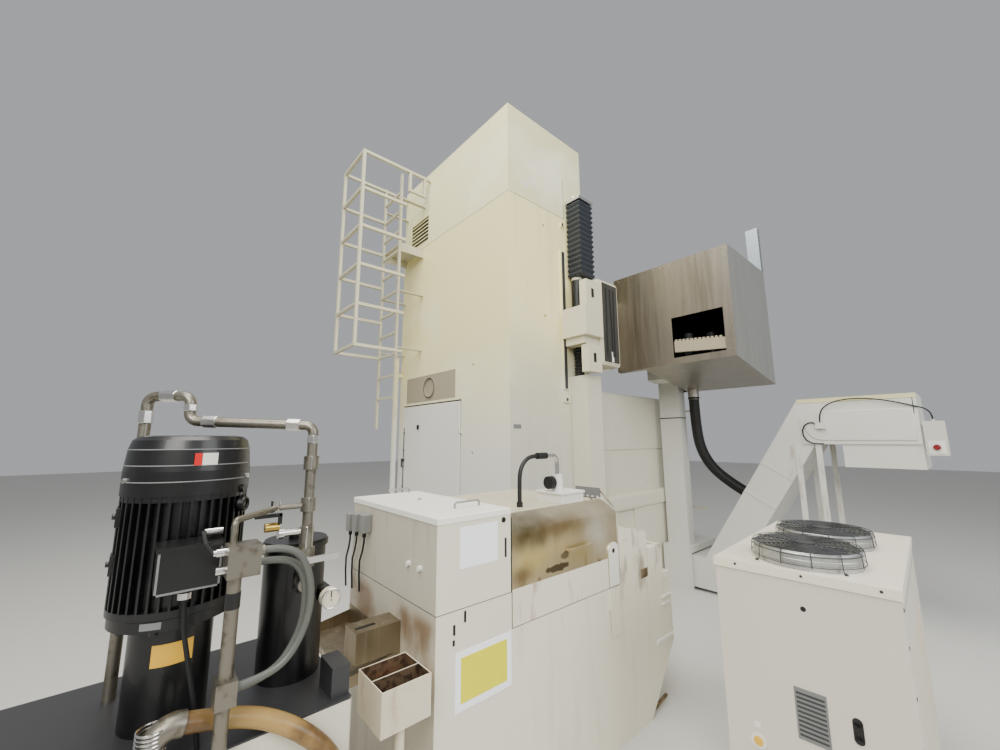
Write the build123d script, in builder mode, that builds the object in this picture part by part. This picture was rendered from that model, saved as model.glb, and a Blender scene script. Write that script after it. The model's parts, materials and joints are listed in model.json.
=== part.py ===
from build123d import *
import os
from math import cos, sin, tan, pi, radians, degrees, atan2, hypot

# Vertical lathe with its tool magazine, chip conveyor, coolant unit, high pressure unit and chiller.
# Millimetres. The origin is on the floor under the table axis and +Z is up. The operator stands
# at the -Y side, the column is at +Y, and the magazine and the units stand on the -X side.

# Running clearances
SLIDE_GAP = 0.3
BORE_GAP = 0.05

# Column
COLUMN_WIDTH = 2200
COLUMN_FRONT = 900
COLUMN_DEPTH = 1200
COLUMN_HEIGHT = 5360
COLUMN_HEAD = 1023
COLUMN_WALL = 60
HEAD_SHEET = 12
WAY_WIDTH = 360
WAY_DEPTH = 60
SEAM_BACK = 328
SEAM_WIDTH = 8
SEAM_DEPTH = 6
TAPPED_HOLE = 34

# Switchgear recess, its door and the window panel on the column's back
RECESS_LEFT = -320
RECESS_RIGHT = 990
RECESS_FLOOR = 230
RECESS_TOP = 2240
RECESS_DEPTH = 360
DOOR_MARGIN = 18
DOOR_SHEET = 20
DOOR_PROUD = 8
HINGE_ARMS = (440, 1870)
PANEL_LEFT = -200
PANEL_RIGHT = 920
PANEL_FLOOR = 2266
PANEL_TOP = 2590
PANEL_SHEET = 16
PORTHOLE_X = 352
PORTHOLE_RADIUS = 110
LOUVRE_LEFT = 470
LOUVRE_RIGHT = 920
LOUVRE_RISE = 63
LOUVRE_HEIGHT = 360
LOUVRE_SLATS = 7

# Caged ladder on the column's back
LADDER_NEAR = 580
LADDER_FAR = 1040
LADDER_OFF = 350
CAGE_NEAR = 450
CAGE_FAR = 1050
CAGE_OUT = 930
CAGE_DROP = 110
HOOP_PITCH = 476
HOOPS = 6
RUNG_PITCH = 268
STILE = 40
CAGE_BAR = 34
RUNG = 28
LADDER_FOOT = 1940
DUCT_X = 1050
DUCT_WIDTH = 42

# Table and its drive
TABLE_RADIUS = 625
TABLE_TOP = 1000
TABLE_THICK = 150
TABLE_BORE = 110
SLOT_COUNT = 8
SLOT_WIDTH = 28
SLOT_HEAD = 46
JAW_COUNT = 4
JAW_WIDTH = 120
JAW_HEIGHT = 120
GEAR_MODULE = 12
GEAR_TEETH = 70
PINION_TEETH = 15
GEAR_FACE = 80
GEAR_FLOOR = 700
SPINDLE_RADIUS = 150

# Bed and enclosure
BED_HALF = 1060
BED_FRONT = -520
BED_TOP = 560
WALL_OUTSIDE = 1100
WALL_SHEET = 30
WALL_TOP = 2360
ENCLOSURE_FRONT = -1240
FRONT_SHEET = 60
LEDGE_TOP = 1160
LEDGE_FLOOR = 975
LEDGE_OUT = 60
DOORWAY_HALF = 760
DOORWAY_FLOOR = 880
DOORWAY_TOP = 2180
DOOR_THICK = 40
DOOR_TRAVEL = 620

# Operator's pendant
PENDANT_X = 1000
PENDANT_OUT = 650
PENDANT_ARM_Z = 2287
PANEL_PIVOT_Z = 1850

# Crossrail, lift screws, saddle and ram
RAIL_HALF = 1140
RAIL_END = 1408
RAIL_FLOOR = 2600
RAIL_HEIGHT = 960
RAIL_FACE = 430
RAIL_WAY = 70
RAIL_END_FRONT = 700
RAIL_END_BACK = 1050
SCREW_X = 1175
SCREW_Y = 1120
SCREW_RADIUS = 25
NUT_FLOOR = 2880
NUT_TOP = 3200
NUT_IN = 1130
NUT_OUT = 1445
NUT_BACK = 1340
BELLOWS_DROP = 840
BELLOWS_FLOOR = 3610
BELLOWS_FOLDS = 15
LOWER_BELLOWS_FLOOR = 2480
LOWER_BELLOWS_FOLDS = 6
BELLOWS_X = 1208
BELLOWS_Y = 1075
BELLOWS_WIDTH = 196
BELLOWS_DEPTH = 250
FOLD_DEPTH = 14
POST_OUT = 1320
POST_FRONT = 940
POST_BACK = 1190
SADDLE_HALF = 350
SADDLE_FRONT = 140
SADDLE_BOX = 240
RAM_HALF_X = 140
RAM_HALF_Y = 130
RAM_FLOOR = 1900
RAM_LENGTH = 2600

# Tool magazine and its guard
GUARD_RIGHT = -1168
GUARD_LEFT = -2507
GUARD_BACK = 360
GUARD_FRONT = -770
GUARD_FLOOR = 2419
GUARD_TOP = 3782
GUARD_SHEET = 6
GUARD_FOLD = 2610
GUARD_OPEN = -1500
RAISED_TOP = 4335
RAISED_BACK = -700
RAISED_RIGHT = -2380
WINDOW_LEFT = -2414
WINDOW_RIGHT = -1876
WINDOW_FLOOR = 2680
WINDOW_TOP = 3130
CAROUSEL_X = -1850
CAROUSEL_Y = -205
CAROUSEL_RADIUS = 430
POCKETS = 10

# Chip conveyor
BELT_BACK = -550
BELT_WIDTH = 620
BELT_SHEET = 8
BELT_FLOOR = 40
BELT_TROUGH_TOP = 400
BELT_RISE = 59
BELT_THICK = 340
BELT_FOOT_X = -1652
BELT_HEAD_TOP = 2210
BELT_HEAD_FLOOR = 1745
BELT_HEAD_END = -3630
BOX_LEFT = -3782
CHUTE_LEFT = -3071
CHUTE_FLOOR = 1525

# Coolant tank, cabinet and hood
TANK_LEFT = -2342
TANK_RIGHT = -1413
TANK_BACK = 3667
CABINET_FRONT = 3232
HOOD_FRONT = 2306
TANK_FRONT = 1660
TANK_TOP = 890
TANK_NOSE = 385
TANK_HEEL = 2000
CABINET_SEAM = 1059
CABINET_TOP = 1430
LID_TOP = 1460
LID_HINGES = (3300, 3550)
HOOD_FOLD = 1339
HOOD_TOP = 1400
TANK_SHEET = 8
CHIP_LEFT = -2420
CHIP_WALL = -2326
CHIP_RIGHT = -2209
CHIP_NEAR = 3732
CHIP_BACK = 3938
CHIP_FLOOR = 749
CHIP_TOP = 900

# High pressure unit
UNIT_LEFT = -2535
UNIT_RIGHT = -1900
UNIT_BACK = 4960
UNIT_FRONT = 4096
UNIT_TOP = 1000
MOTOR_X = -2252
MOTOR_Y = 4552
FLANGE_RADIUS = 155
BELL_RADIUS = 103
MOTOR_RADIUS = 161
FLANGE_FLOOR = 1284
FRAME_FLOOR = 1320
COVER_FLOOR = 1642
COVER_TOP = 1816
COVER_RADIUS = 164
MOTOR_SHAFT = 24
MOTOR_FINS = 40
FILTER_X = -2240
FILTER_Y = 4213
FILTER_RADIUS = 101
FILTER_TOP = 1446

# Chiller
CHILLER_X = -3283
CHILLER_Y = 1713
CHILLER_TURN = 2.9
CHILLER_WIDTH = 690
CHILLER_LENGTH = 1300
CHILLER_TOP = 1200
CHILLER_LID = 40
FAN_RADIUS = 215
FAN_FRONT = 395
FAN_REAR = -110
FAN_DRUM = 82
GUARD_RINGS = 4

# Sizes that follow from the ones above
COLUMN_HALF = COLUMN_WIDTH / 2
COLUMN_BACK = COLUMN_FRONT + COLUMN_DEPTH
SPLIT = COLUMN_HEIGHT - COLUMN_HEAD
LOUVRE_FLOOR = SPLIT + LOUVRE_RISE
LOUVRE_TOP = LOUVRE_FLOOR + LOUVRE_HEIGHT
CAGE_TOP = COLUMN_HEIGHT - CAGE_DROP
BELLOWS_TOP = COLUMN_HEIGHT - BELLOWS_DROP
LADDER_Y = COLUMN_BACK + LADDER_OFF
CAGE_Y = COLUMN_BACK + CAGE_OUT
RAIL_TOP = RAIL_FLOOR + RAIL_HEIGHT
RAIL_BACK = COLUMN_FRONT - SLIDE_GAP
BELT_FRONT = BELT_BACK - BELT_WIDTH

os.makedirs("parts", exist_ok=True)


def write(name, piece):
    piece.part.label = name
    export_step(piece.part, f"parts/{name}.step")


def block(x, y, z, mode=Mode.ADD):
    """A rectangular block between two X, two Y and two Z values."""
    with Locations(((x[0] + x[1]) / 2, (y[0] + y[1]) / 2, (z[0] + z[1]) / 2)):
        Box(abs(x[1] - x[0]), abs(y[1] - y[0]), abs(z[1] - z[0]), mode=mode)


def rod(centre, radius, low, high, axis="z", mode=Mode.ADD):
    """A round bar along one axis between two values, centred on the other two."""
    turn = {"x": (0, 90, 0), "y": (90, 0, 0), "z": (0, 0, 0)}[axis]
    middle = (low + high) / 2
    a, b = centre
    spot = {"x": (middle, a, b), "y": (a, middle, b), "z": (a, b, middle)}[axis]
    with Locations(Location(spot, turn)):
        Cylinder(radius, high - low, mode=mode)


def across_x(x, points, mode=Mode.ADD):
    """A prism along X with an outline of (y, z) points."""
    with BuildSketch(Plane.YZ.offset(x[0])) as outline:
        with BuildLine():
            Polyline(*points, close=True)
        make_face()
    extrude(outline.sketch, amount=x[1] - x[0], mode=mode)


def across_y(y, points, mode=Mode.ADD):
    """A prism along Y with an outline of (x, z) points."""
    with BuildSketch(Plane.XZ.offset(-y[1])) as outline:
        with BuildLine():
            Polyline(*points, close=True)
        make_face()
    extrude(outline.sketch, amount=y[1] - y[0], mode=mode)


def both(span):
    """The given X span and its mirror image."""
    return span, (-span[1], -span[0])


def tube(points, radius, bends, mode=Mode.ADD):
    """A round bar along straight runs joined by arcs."""
    with BuildLine() as path:
        FilletPolyline(*points, radius=bends)
    line = path.line
    with BuildSketch(Plane(origin=line @ 0, z_dir=line % 0)) as ring:
        Circle(radius)
    sweep(ring.sketch, path=line, mode=mode)


def cord(name, points, diameter):
    """A cord along straight runs, with arcs as wide as the runs allow."""
    runs = [Vector(*points[i + 1]) - Vector(*points[i]) for i in range(len(points) - 1)]
    bends = []
    for before, after in zip(runs, runs[1:]):
        turn = radians(before.get_angle(after))
        bends.append(0.45 * min(before.length, after.length) / tan(turn / 2))
    print(name, "bend radii", [round(bend) for bend in bends])
    tube(points, diameter / 2, bends)


# Column

hinge_x = RECESS_LEFT + DOOR_MARGIN
hinge_y = COLUMN_BACK + DOOR_PROUD

with BuildPart() as column:
    block((-COLUMN_HALF, COLUMN_HALF), (COLUMN_FRONT, COLUMN_BACK), (0, SPLIT))
    inner_way = COLUMN_HALF - WAY_WIDTH
    block((-inner_way, inner_way), (COLUMN_FRONT, COLUMN_FRONT + WAY_DEPTH), (0, SPLIT), Mode.SUBTRACT)
    hollow_back = COLUMN_BACK - RECESS_DEPTH - COLUMN_WALL
    block(
        (-COLUMN_HALF + COLUMN_WALL, COLUMN_HALF - COLUMN_WALL),
        (COLUMN_FRONT + WAY_DEPTH + COLUMN_WALL, hollow_back),
        (0, SPLIT - COLUMN_WALL),
        Mode.SUBTRACT,
    )
    block((RECESS_LEFT, RECESS_RIGHT), (COLUMN_BACK - RECESS_DEPTH, COLUMN_BACK),
          (RECESS_FLOOR, RECESS_TOP), Mode.SUBTRACT)
    block((PANEL_LEFT, PANEL_RIGHT), (COLUMN_BACK - PANEL_SHEET, COLUMN_BACK),
          (PANEL_FLOOR, PANEL_TOP), Mode.SUBTRACT)
    seam_y = COLUMN_FRONT + SEAM_BACK
    for side in both((COLUMN_HALF - SEAM_DEPTH, COLUMN_HALF)):
        block(side, (seam_y - SEAM_WIDTH / 2, seam_y + SEAM_WIDTH / 2), (0, SPLIT), Mode.SUBTRACT)
    for hole_z in (1665, 2590):
        rod((-520, hole_z), TAPPED_HOLE / 2, COLUMN_BACK - 40, COLUMN_BACK, "y", Mode.SUBTRACT)
    for hole_z in (3098, SPLIT - 205):
        rod((1580, hole_z), TAPPED_HOLE / 2, -COLUMN_HALF, -COLUMN_HALF + 40, "x", Mode.SUBTRACT)
    # dog rails for the crossrail's limit switches, behind the nut housings
    for side in both((COLUMN_HALF, COLUMN_HALF + 20)):
        block(side, (1245, 1325), (2330, SPLIT - 417))
        block(side, (1250, 1300), (SPLIT - 122, SPLIT - 62))
        block(side, (1240, 1330), (2190, 2250))

    # hinge arms and pins of the rear door
    for arm_z in HINGE_ARMS:
        block((RECESS_LEFT - 24, hinge_x + 6), (COLUMN_BACK, hinge_y + 6), (arm_z, arm_z + 30))
        rod((hinge_x, hinge_y), 6, arm_z, arm_z + 80)
    # riser duct beside the door, with its two brackets
    duct_y = COLUMN_BACK + 60
    block((DUCT_X, DUCT_X + DUCT_WIDTH), (duct_y, duct_y + 50), (0, PANEL_TOP + 310))
    for bracket_z in (300, PANEL_TOP + 50):
        block((DUCT_X + 10, DUCT_X + 32), (COLUMN_BACK, duct_y), (bracket_z, bracket_z + 40))

write("column", column)

with BuildPart() as column_head:
    block((-COLUMN_HALF, COLUMN_HALF), (COLUMN_FRONT, COLUMN_BACK), (SPLIT, COLUMN_HEIGHT))
    top_edges = column_head.edges().group_by(Axis.Z)[-1]
    chamfer(top_edges, length=8)
    bottom_edges = column_head.edges().group_by(Axis.Z)[0]
    chamfer(bottom_edges, length=SEAM_DEPTH / 2)
    block(
        (-COLUMN_HALF + HEAD_SHEET, COLUMN_HALF - HEAD_SHEET),
        (COLUMN_FRONT + HEAD_SHEET, COLUMN_BACK - HEAD_SHEET),
        (SPLIT, COLUMN_HEIGHT - HEAD_SHEET),
        Mode.SUBTRACT,
    )
    block((LOUVRE_LEFT, LOUVRE_RIGHT), (COLUMN_BACK - HEAD_SHEET, COLUMN_BACK),
          (LOUVRE_FLOOR, LOUVRE_TOP), Mode.SUBTRACT)
    slat_pitch = (LOUVRE_TOP - LOUVRE_FLOOR) / LOUVRE_SLATS
    for slat in range(LOUVRE_SLATS):
        base = LOUVRE_FLOOR + slat * slat_pitch + 6
        across_x(
            (LOUVRE_LEFT - 2, LOUVRE_RIGHT + 2),
            [(COLUMN_BACK - 1, base), (COLUMN_BACK - 1, base + 4),
             (COLUMN_BACK - 36, base + slat_pitch * 0.8), (COLUMN_BACK - 36, base + slat_pitch * 0.8 - 4)],
        )
    for side in both((COLUMN_HALF - SEAM_DEPTH, COLUMN_HALF)):
        block(side, (seam_y - SEAM_WIDTH / 2, seam_y + SEAM_WIDTH / 2),
              (SPLIT, COLUMN_HEIGHT), Mode.SUBTRACT)

write("column_head", column_head)

with BuildPart() as window_panel:
    panel_y = (COLUMN_BACK - PANEL_SHEET, COLUMN_BACK - 2)
    block((PANEL_LEFT + 1, PANEL_RIGHT - 1), panel_y, (PANEL_FLOOR + 1, PANEL_TOP - 1))
    porthole = (PORTHOLE_X, (PANEL_FLOOR + PANEL_TOP) / 2)
    rod(porthole, PORTHOLE_RADIUS + 18, panel_y[1], COLUMN_BACK + 8, "y")
    rod(porthole, PORTHOLE_RADIUS, panel_y[1] - 6, COLUMN_BACK + 8, "y", Mode.SUBTRACT)

write("window_panel", window_panel)

with BuildPart() as access_ladder:
    for stile_x, foot in ((LADDER_NEAR, RECESS_TOP + 20), (LADDER_FAR, LADDER_FOOT)):
        block((stile_x - STILE / 2, stile_x + STILE / 2), (LADDER_Y - 12, LADDER_Y + 12),
              (foot, CAGE_TOP))
        for drop in (2330, 1600, 350):
            bracket_z = CAGE_TOP - drop
            block((stile_x - 25, stile_x + 25), (COLUMN_BACK, LADDER_Y), (bracket_z, bracket_z + 12))
    rungs = int((CAGE_TOP - RECESS_TOP - 60) / RUNG_PITCH)
    for rung in range(rungs):
        rung_z = RECESS_TOP + 60 + rung * RUNG_PITCH
        block((LADDER_NEAR, LADDER_FAR), (LADDER_Y - RUNG / 2, LADDER_Y + RUNG / 2),
              (rung_z, rung_z + RUNG))
    cage_floor = CAGE_TOP - (HOOPS - 1) * HOOP_PITCH
    for outer_x in (CAGE_NEAR, CAGE_FAR):
        block((outer_x - CAGE_BAR / 2, outer_x + CAGE_BAR / 2), (CAGE_Y - CAGE_BAR, CAGE_Y),
              (cage_floor, CAGE_TOP))
    for hoop in range(HOOPS):
        hoop_z = (CAGE_TOP - hoop * HOOP_PITCH - CAGE_BAR, CAGE_TOP - hoop * HOOP_PITCH)
        back_end = COLUMN_BACK if hoop == 0 else LADDER_Y - 12
        for outer_x in (CAGE_NEAR, CAGE_FAR):
            block((outer_x - CAGE_BAR / 2, outer_x + CAGE_BAR / 2), (back_end, CAGE_Y), hoop_z)
        block((CAGE_NEAR, CAGE_FAR), (CAGE_Y - CAGE_BAR, CAGE_Y), hoop_z)
    # the gate loop at the top, and the rest platform on the column
    gate_x = (CAGE_NEAR - CAGE_BAR / 2, CAGE_NEAR + CAGE_BAR / 2)
    gate_floor = CAGE_TOP - 290
    gate_y = (COLUMN_BACK + 73, LADDER_Y - 33)
    for post_y in (gate_y[0], gate_y[1] - CAGE_BAR):
        block(gate_x, (post_y, post_y + CAGE_BAR), (gate_floor, CAGE_TOP))
    block(gate_x, gate_y, (gate_floor, gate_floor + CAGE_BAR))
    platform_z = CAGE_TOP - 960
    block((LADDER_NEAR, LADDER_FAR), (COLUMN_BACK, LADDER_Y - 12), (platform_z, platform_z + 10))
    for side_x in (LADDER_NEAR, LADDER_FAR - 8):
        block((side_x, side_x + 8), (COLUMN_BACK, LADDER_Y - 12), (platform_z - 100, platform_z))

write("access_ladder", access_ladder)

with BuildPart() as rear_door:
    door_x = (RECESS_LEFT + DOOR_MARGIN, RECESS_RIGHT - DOOR_MARGIN)
    door_z = (RECESS_FLOOR + DOOR_MARGIN, RECESS_TOP - DOOR_MARGIN)
    door_y = (COLUMN_BACK + DOOR_PROUD - DOOR_SHEET, COLUMN_BACK + DOOR_PROUD)
    block(door_x, door_y, door_z)
    chamfer(rear_door.faces().sort_by(Axis.Y)[-1].edges(), length=4)
    block((door_x[0] + 60, door_x[1] - 60), (door_y[0] - 30, door_y[0]),
          (door_z[0] + 60, door_z[1] - 60))
    block((door_x[0] + 66, door_x[1] - 66), (door_y[0] - 30, door_y[0]),
          (door_z[0] + 66, door_z[1] - 66), Mode.SUBTRACT)
    for arm_z in HINGE_ARMS:
        block((hinge_x, hinge_x + 16), door_y, (arm_z - 4, arm_z + 30 + SLIDE_GAP), Mode.SUBTRACT)
        rod((hinge_x, hinge_y), 11, arm_z + 30 + SLIDE_GAP, arm_z + 80)
        rod((hinge_x, hinge_y), 6 + BORE_GAP, arm_z + 30, arm_z + 80, mode=Mode.SUBTRACT)
    latch_spot = (RECESS_RIGHT - 60, 1545)
    rod(latch_spot, 12 + BORE_GAP, door_y[0], door_y[1], "y", Mode.SUBTRACT)

write("rear_door", rear_door)

with BuildPart() as door_latch:
    rod(latch_spot, 12, door_y[0] - 40, door_y[1] + SLIDE_GAP, "y")
    rod(latch_spot, 24, door_y[1] + SLIDE_GAP, door_y[1] + 22, "y")
    block((latch_spot[0] - 9, latch_spot[0] + 9), (door_y[1] + 22, door_y[1] + 36),
          (latch_spot[1] - 85, latch_spot[1] + 20))
    block((latch_spot[0] - 8, latch_spot[0] + 8), (door_y[0] - 40, door_y[0] - 34),
          (latch_spot[1] - 8, latch_spot[1] + 70))

write("door_latch", door_latch)

# Bed, spindle drive and table

gear_pitch_radius = GEAR_MODULE * GEAR_TEETH / 2
pinion_pitch_radius = GEAR_MODULE * PINION_TEETH / 2
drive_y = gear_pitch_radius + pinion_pitch_radius
seat_radius = gear_pitch_radius + 60
table_floor = TABLE_TOP - TABLE_THICK

with BuildPart() as base_casting:
    block((-BED_HALF, BED_HALF), (BED_FRONT, COLUMN_FRONT - SLIDE_GAP), (0, BED_TOP))
    rod((0, 0), seat_radius, BED_TOP, GEAR_FLOOR - 10)
    block((-200, 200), (300, drive_y + 180), (BED_TOP, GEAR_FLOOR - 10))
    rod((0, 0), SPINDLE_RADIUS + BORE_GAP, 200, GEAR_FLOOR - 10, mode=Mode.SUBTRACT)
    rod((0, drive_y), 42 + BORE_GAP, BED_TOP - 60, GEAR_FLOOR - 10, mode=Mode.SUBTRACT)
    block((-180, 180), (drive_y - 180, drive_y + 180), (0, BED_TOP - 60), Mode.SUBTRACT)
    for rib_x in (-BED_HALF + 60, 230):
        block((rib_x, rib_x + 770), (BED_FRONT + 60, 140), (0, 150), Mode.SUBTRACT)
    chamfer(base_casting.edges().filter_by(Axis.Z).group_by(Axis.Y)[0], length=30)

write("base_casting", base_casting)


def gear_outline(teeth, start):
    """Straight-flanked teeth with backlash, as a closed outline, one tooth centred at start degrees."""
    pitch_radius = GEAR_MODULE * teeth / 2
    root = pitch_radius - 1.15 * GEAR_MODULE
    tip = pitch_radius + 0.75 * GEAR_MODULE
    pitch_angle = 360 / teeth
    tooth_pitch = pi * GEAR_MODULE
    half_root = degrees(0.30 * tooth_pitch / root)
    half_tip = degrees(0.11 * tooth_pitch / tip)
    points = []
    for tooth in range(teeth):
        middle = start + tooth * pitch_angle
        for radius, shift in ((root, -half_root), (tip, -half_tip), (tip, half_tip), (root, half_root)):
            angle = radians(middle + shift)
            points.append((radius * cos(angle), radius * sin(angle)))
    return points


with BuildPart() as spindle_gear:
    with BuildSketch(Plane.XY.offset(GEAR_FLOOR)) as bull_teeth:
        with BuildLine():
            Polyline(*gear_outline(GEAR_TEETH, 90), close=True)
        make_face()
    extrude(amount=GEAR_FACE)
    rod((0, 0), gear_pitch_radius - 40, GEAR_FLOOR + GEAR_FACE, table_floor)
    rod((0, 0), SPINDLE_RADIUS, 220, GEAR_FLOOR)

write("spindle_gear", spindle_gear)

with BuildPart() as drive_pinion:
    with BuildSketch(Plane((0, drive_y, GEAR_FLOOR))) as pinion_teeth:
        with BuildLine():
            Polyline(*gear_outline(PINION_TEETH, 270 + 180 / PINION_TEETH), close=True)
        make_face()
    extrude(amount=GEAR_FACE)
    rod((0, drive_y), 42, BED_TOP - 90, GEAR_FLOOR)

write("drive_pinion", drive_pinion)

with BuildPart() as main_motor:
    rod((0, drive_y), 150, 40, BED_TOP - 90)
    rod((0, drive_y), 42 + BORE_GAP, BED_TOP - 130, BED_TOP - 90, mode=Mode.SUBTRACT)
    block((-178, 178), (drive_y - 178, drive_y + 178), (BED_TOP - 90, BED_TOP - 60))
    rod((0, drive_y), 42 + BORE_GAP, BED_TOP - 90, BED_TOP - 60, mode=Mode.SUBTRACT)

write("main_motor", main_motor)

with BuildPart() as table:
    with BuildSketch(Plane.XZ) as table_profile:
        with BuildLine():
            Polyline(
                (TABLE_BORE / 2, table_floor), (TABLE_RADIUS - 40, table_floor),
                (TABLE_RADIUS - 40, table_floor - 30), (TABLE_RADIUS, table_floor - 30),
                (TABLE_RADIUS, TABLE_TOP - 6), (TABLE_RADIUS - 6, TABLE_TOP),
                (TABLE_BORE / 2, TABLE_TOP), close=True,
            )
        make_face()
    revolve(axis=Axis.Z)
    with BuildSketch(Plane.XY.offset(TABLE_TOP)) as slot_mouths:
        with PolarLocations((TABLE_RADIUS + 120) / 2, SLOT_COUNT):
            Rectangle(TABLE_RADIUS - 120, SLOT_WIDTH)
    extrude(amount=-50, mode=Mode.SUBTRACT)
    with BuildSketch(Plane.XY.offset(TABLE_TOP - 30)) as slot_heads:
        with PolarLocations((TABLE_RADIUS + 120) / 2, SLOT_COUNT):
            Rectangle(TABLE_RADIUS - 120, SLOT_HEAD)
    extrude(amount=-20, mode=Mode.SUBTRACT)

write("table", table)

with BuildPart() as chuck_jaws:
    with BuildSketch(Plane.XZ.offset(-JAW_WIDTH / 2)) as jaw_side:
        with BuildLine():
            Polyline(
                (300, TABLE_TOP), (560, TABLE_TOP), (560, TABLE_TOP + 40),
                (480, TABLE_TOP + JAW_HEIGHT), (400, TABLE_TOP + JAW_HEIGHT), (400, TABLE_TOP + 70),
                (330, TABLE_TOP + 70), (330, TABLE_TOP + 30), (300, TABLE_TOP + 30), close=True,
            )
        make_face()
    first_jaw = extrude(amount=JAW_WIDTH)
    for jaw in range(1, JAW_COUNT):
        add(first_jaw.rotate(Axis.Z, jaw * 360 / JAW_COUNT))

write("chuck_jaws", chuck_jaws)

# Enclosure

with BuildPart() as enclosure_walls:
    inner = WALL_OUTSIDE - WALL_SHEET
    ledge = WALL_OUTSIDE + LEDGE_OUT
    across_y(
        (ENCLOSURE_FRONT, COLUMN_FRONT),
        [(inner, 0), (ledge - 24, 0), (ledge - 24, LEDGE_FLOOR - 6), (ledge - 14, LEDGE_FLOOR + 2),
         (ledge - 2, LEDGE_FLOOR + 16), (ledge, LEDGE_FLOOR + 40), (ledge, LEDGE_TOP - 44),
         (ledge - 3, LEDGE_TOP - 24), (ledge - 12, LEDGE_TOP - 8), (ledge - 28, LEDGE_TOP),
         (WALL_OUTSIDE - 6, LEDGE_TOP + 8), (WALL_OUTSIDE - 6, 1658), (WALL_OUTSIDE - 14, 1664),
         (WALL_OUTSIDE - 14, 1672), (WALL_OUTSIDE, 1680), (WALL_OUTSIDE, WALL_TOP - 20),
         (WALL_OUTSIDE - 20, WALL_TOP), (inner, WALL_TOP)],
    )
    block((ledge - 50, ledge - 20), (100, 458), (740, 1030), Mode.SUBTRACT)
    # the covered stand of each lift screw
    block((WALL_OUTSIDE + 2, POST_OUT), (POST_FRONT, POST_BACK), (0, LOWER_BELLOWS_FLOOR))
    block((WALL_OUTSIDE + 2, ledge - 24), (COLUMN_FRONT - 5, POST_FRONT), (0, LEDGE_FLOOR - 20))
    block((WALL_OUTSIDE + 12, POST_OUT - 10), (POST_BACK - 4, POST_BACK), (1240, 1246), Mode.SUBTRACT)
    rod((SCREW_X, SCREW_Y), SCREW_RADIUS + 15, 80, LOWER_BELLOWS_FLOOR, mode=Mode.SUBTRACT)
    mirror(about=Plane.YZ)
    block((-ledge - 10, -inner + 10), (BELT_FRONT, BELT_BACK),
          (0, BELT_TROUGH_TOP + 20), Mode.SUBTRACT)

write("enclosure_walls", enclosure_walls)

front_face = ENCLOSURE_FRONT - FRONT_SHEET
front_half = WALL_OUTSIDE + LEDGE_OUT - 24
rail_length = DOORWAY_HALF + DOOR_TRAVEL + 20
door_back = front_face - 2
door_face = door_back - DOOR_THICK
pivot_y = front_face - 60
arm_end = pivot_y - PENDANT_OUT

with BuildPart() as enclosure_front:
    block((-front_half, front_half), (front_face, ENCLOSURE_FRONT), (0, WALL_TOP))
    block((-DOORWAY_HALF + 30, DOORWAY_HALF - 30), (front_face, ENCLOSURE_FRONT),
          (DOORWAY_FLOOR + 20, DOORWAY_TOP - 20), Mode.SUBTRACT)
    block((-front_half + 60, front_half - 60), (front_face, front_face + 6), (120, 760), Mode.SUBTRACT)
    for rail_z in (DOORWAY_FLOOR - 40, DOORWAY_TOP + 10):
        block((-rail_length, rail_length), (door_face - 2, front_face), (rail_z, rail_z + 30))
    # bracket and pin that carry the pendant's arm
    for plate_z in (PENDANT_ARM_Z - 62, PENDANT_ARM_Z + 48):
        block((PENDANT_X - 30, PENDANT_X + 30), (pivot_y - 30, front_face), (plate_z, plate_z + 12))
    rod((PENDANT_X, pivot_y), 14, PENDANT_ARM_Z - 62, PENDANT_ARM_Z + 60)

write("enclosure_front", enclosure_front)

with BuildPart() as door_right:
    block((1, DOORWAY_HALF), (door_face, door_back),
          (DOORWAY_FLOOR - 10 + SLIDE_GAP, DOORWAY_TOP + 10 - SLIDE_GAP))
    block((130, DOORWAY_HALF - 120), (door_face, door_face + 16), (1280, 1980), Mode.SUBTRACT)
    block((150, DOORWAY_HALF - 140), (door_face, door_back), (1300, 1960), Mode.SUBTRACT)
    block((150, DOORWAY_HALF - 140), (door_face + 22, door_face + 28), (1300, 1960))
    for end_z in (1180, 1780):
        block((50, 80), (door_face - 50, door_face), (end_z, end_z + 30))
    rod((65, door_face - 50), 16, 1160, 1830)

write("door_right", door_right)

with BuildPart() as door_left:
    mirror(door_right.part, about=Plane.YZ)

write("door_left", door_left)

# Operator's pendant

with BuildPart() as pendant_arm:
    rod((PENDANT_X, pivot_y), 34, PENDANT_ARM_Z - 49, PENDANT_ARM_Z + 47)
    block((PENDANT_X - 30, PENDANT_X + 30), (arm_end, pivot_y), (PENDANT_ARM_Z - 25, PENDANT_ARM_Z + 25))
    block((PENDANT_X - 30, PENDANT_X + 30), (arm_end - 30, arm_end + 30),
          (PANEL_PIVOT_Z + 40, PENDANT_ARM_Z + 25))
    block((PENDANT_X - 52, PENDANT_X + 52), (arm_end - 30, arm_end + 30),
          (PANEL_PIVOT_Z + 30, PANEL_PIVOT_Z + 46))
    for ear in (-52, 36):
        block((PENDANT_X + ear, PENDANT_X + ear + 16), (arm_end - 30, arm_end + 30),
              (PANEL_PIVOT_Z - 30, PANEL_PIVOT_Z + 30))
    rod((PENDANT_X, pivot_y), 14 + BORE_GAP, PENDANT_ARM_Z - 49, PENDANT_ARM_Z + 47,
        mode=Mode.SUBTRACT)
    rod((arm_end, PANEL_PIVOT_Z), 10 + BORE_GAP, PENDANT_X - 60, PENDANT_X + 60, "x", Mode.SUBTRACT)

write("pendant_arm", pendant_arm)

panel_top = PANEL_PIVOT_Z - 52
panel_face = arm_end - 60
estop_spot = (PENDANT_X + 180, panel_top - 380)

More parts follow.
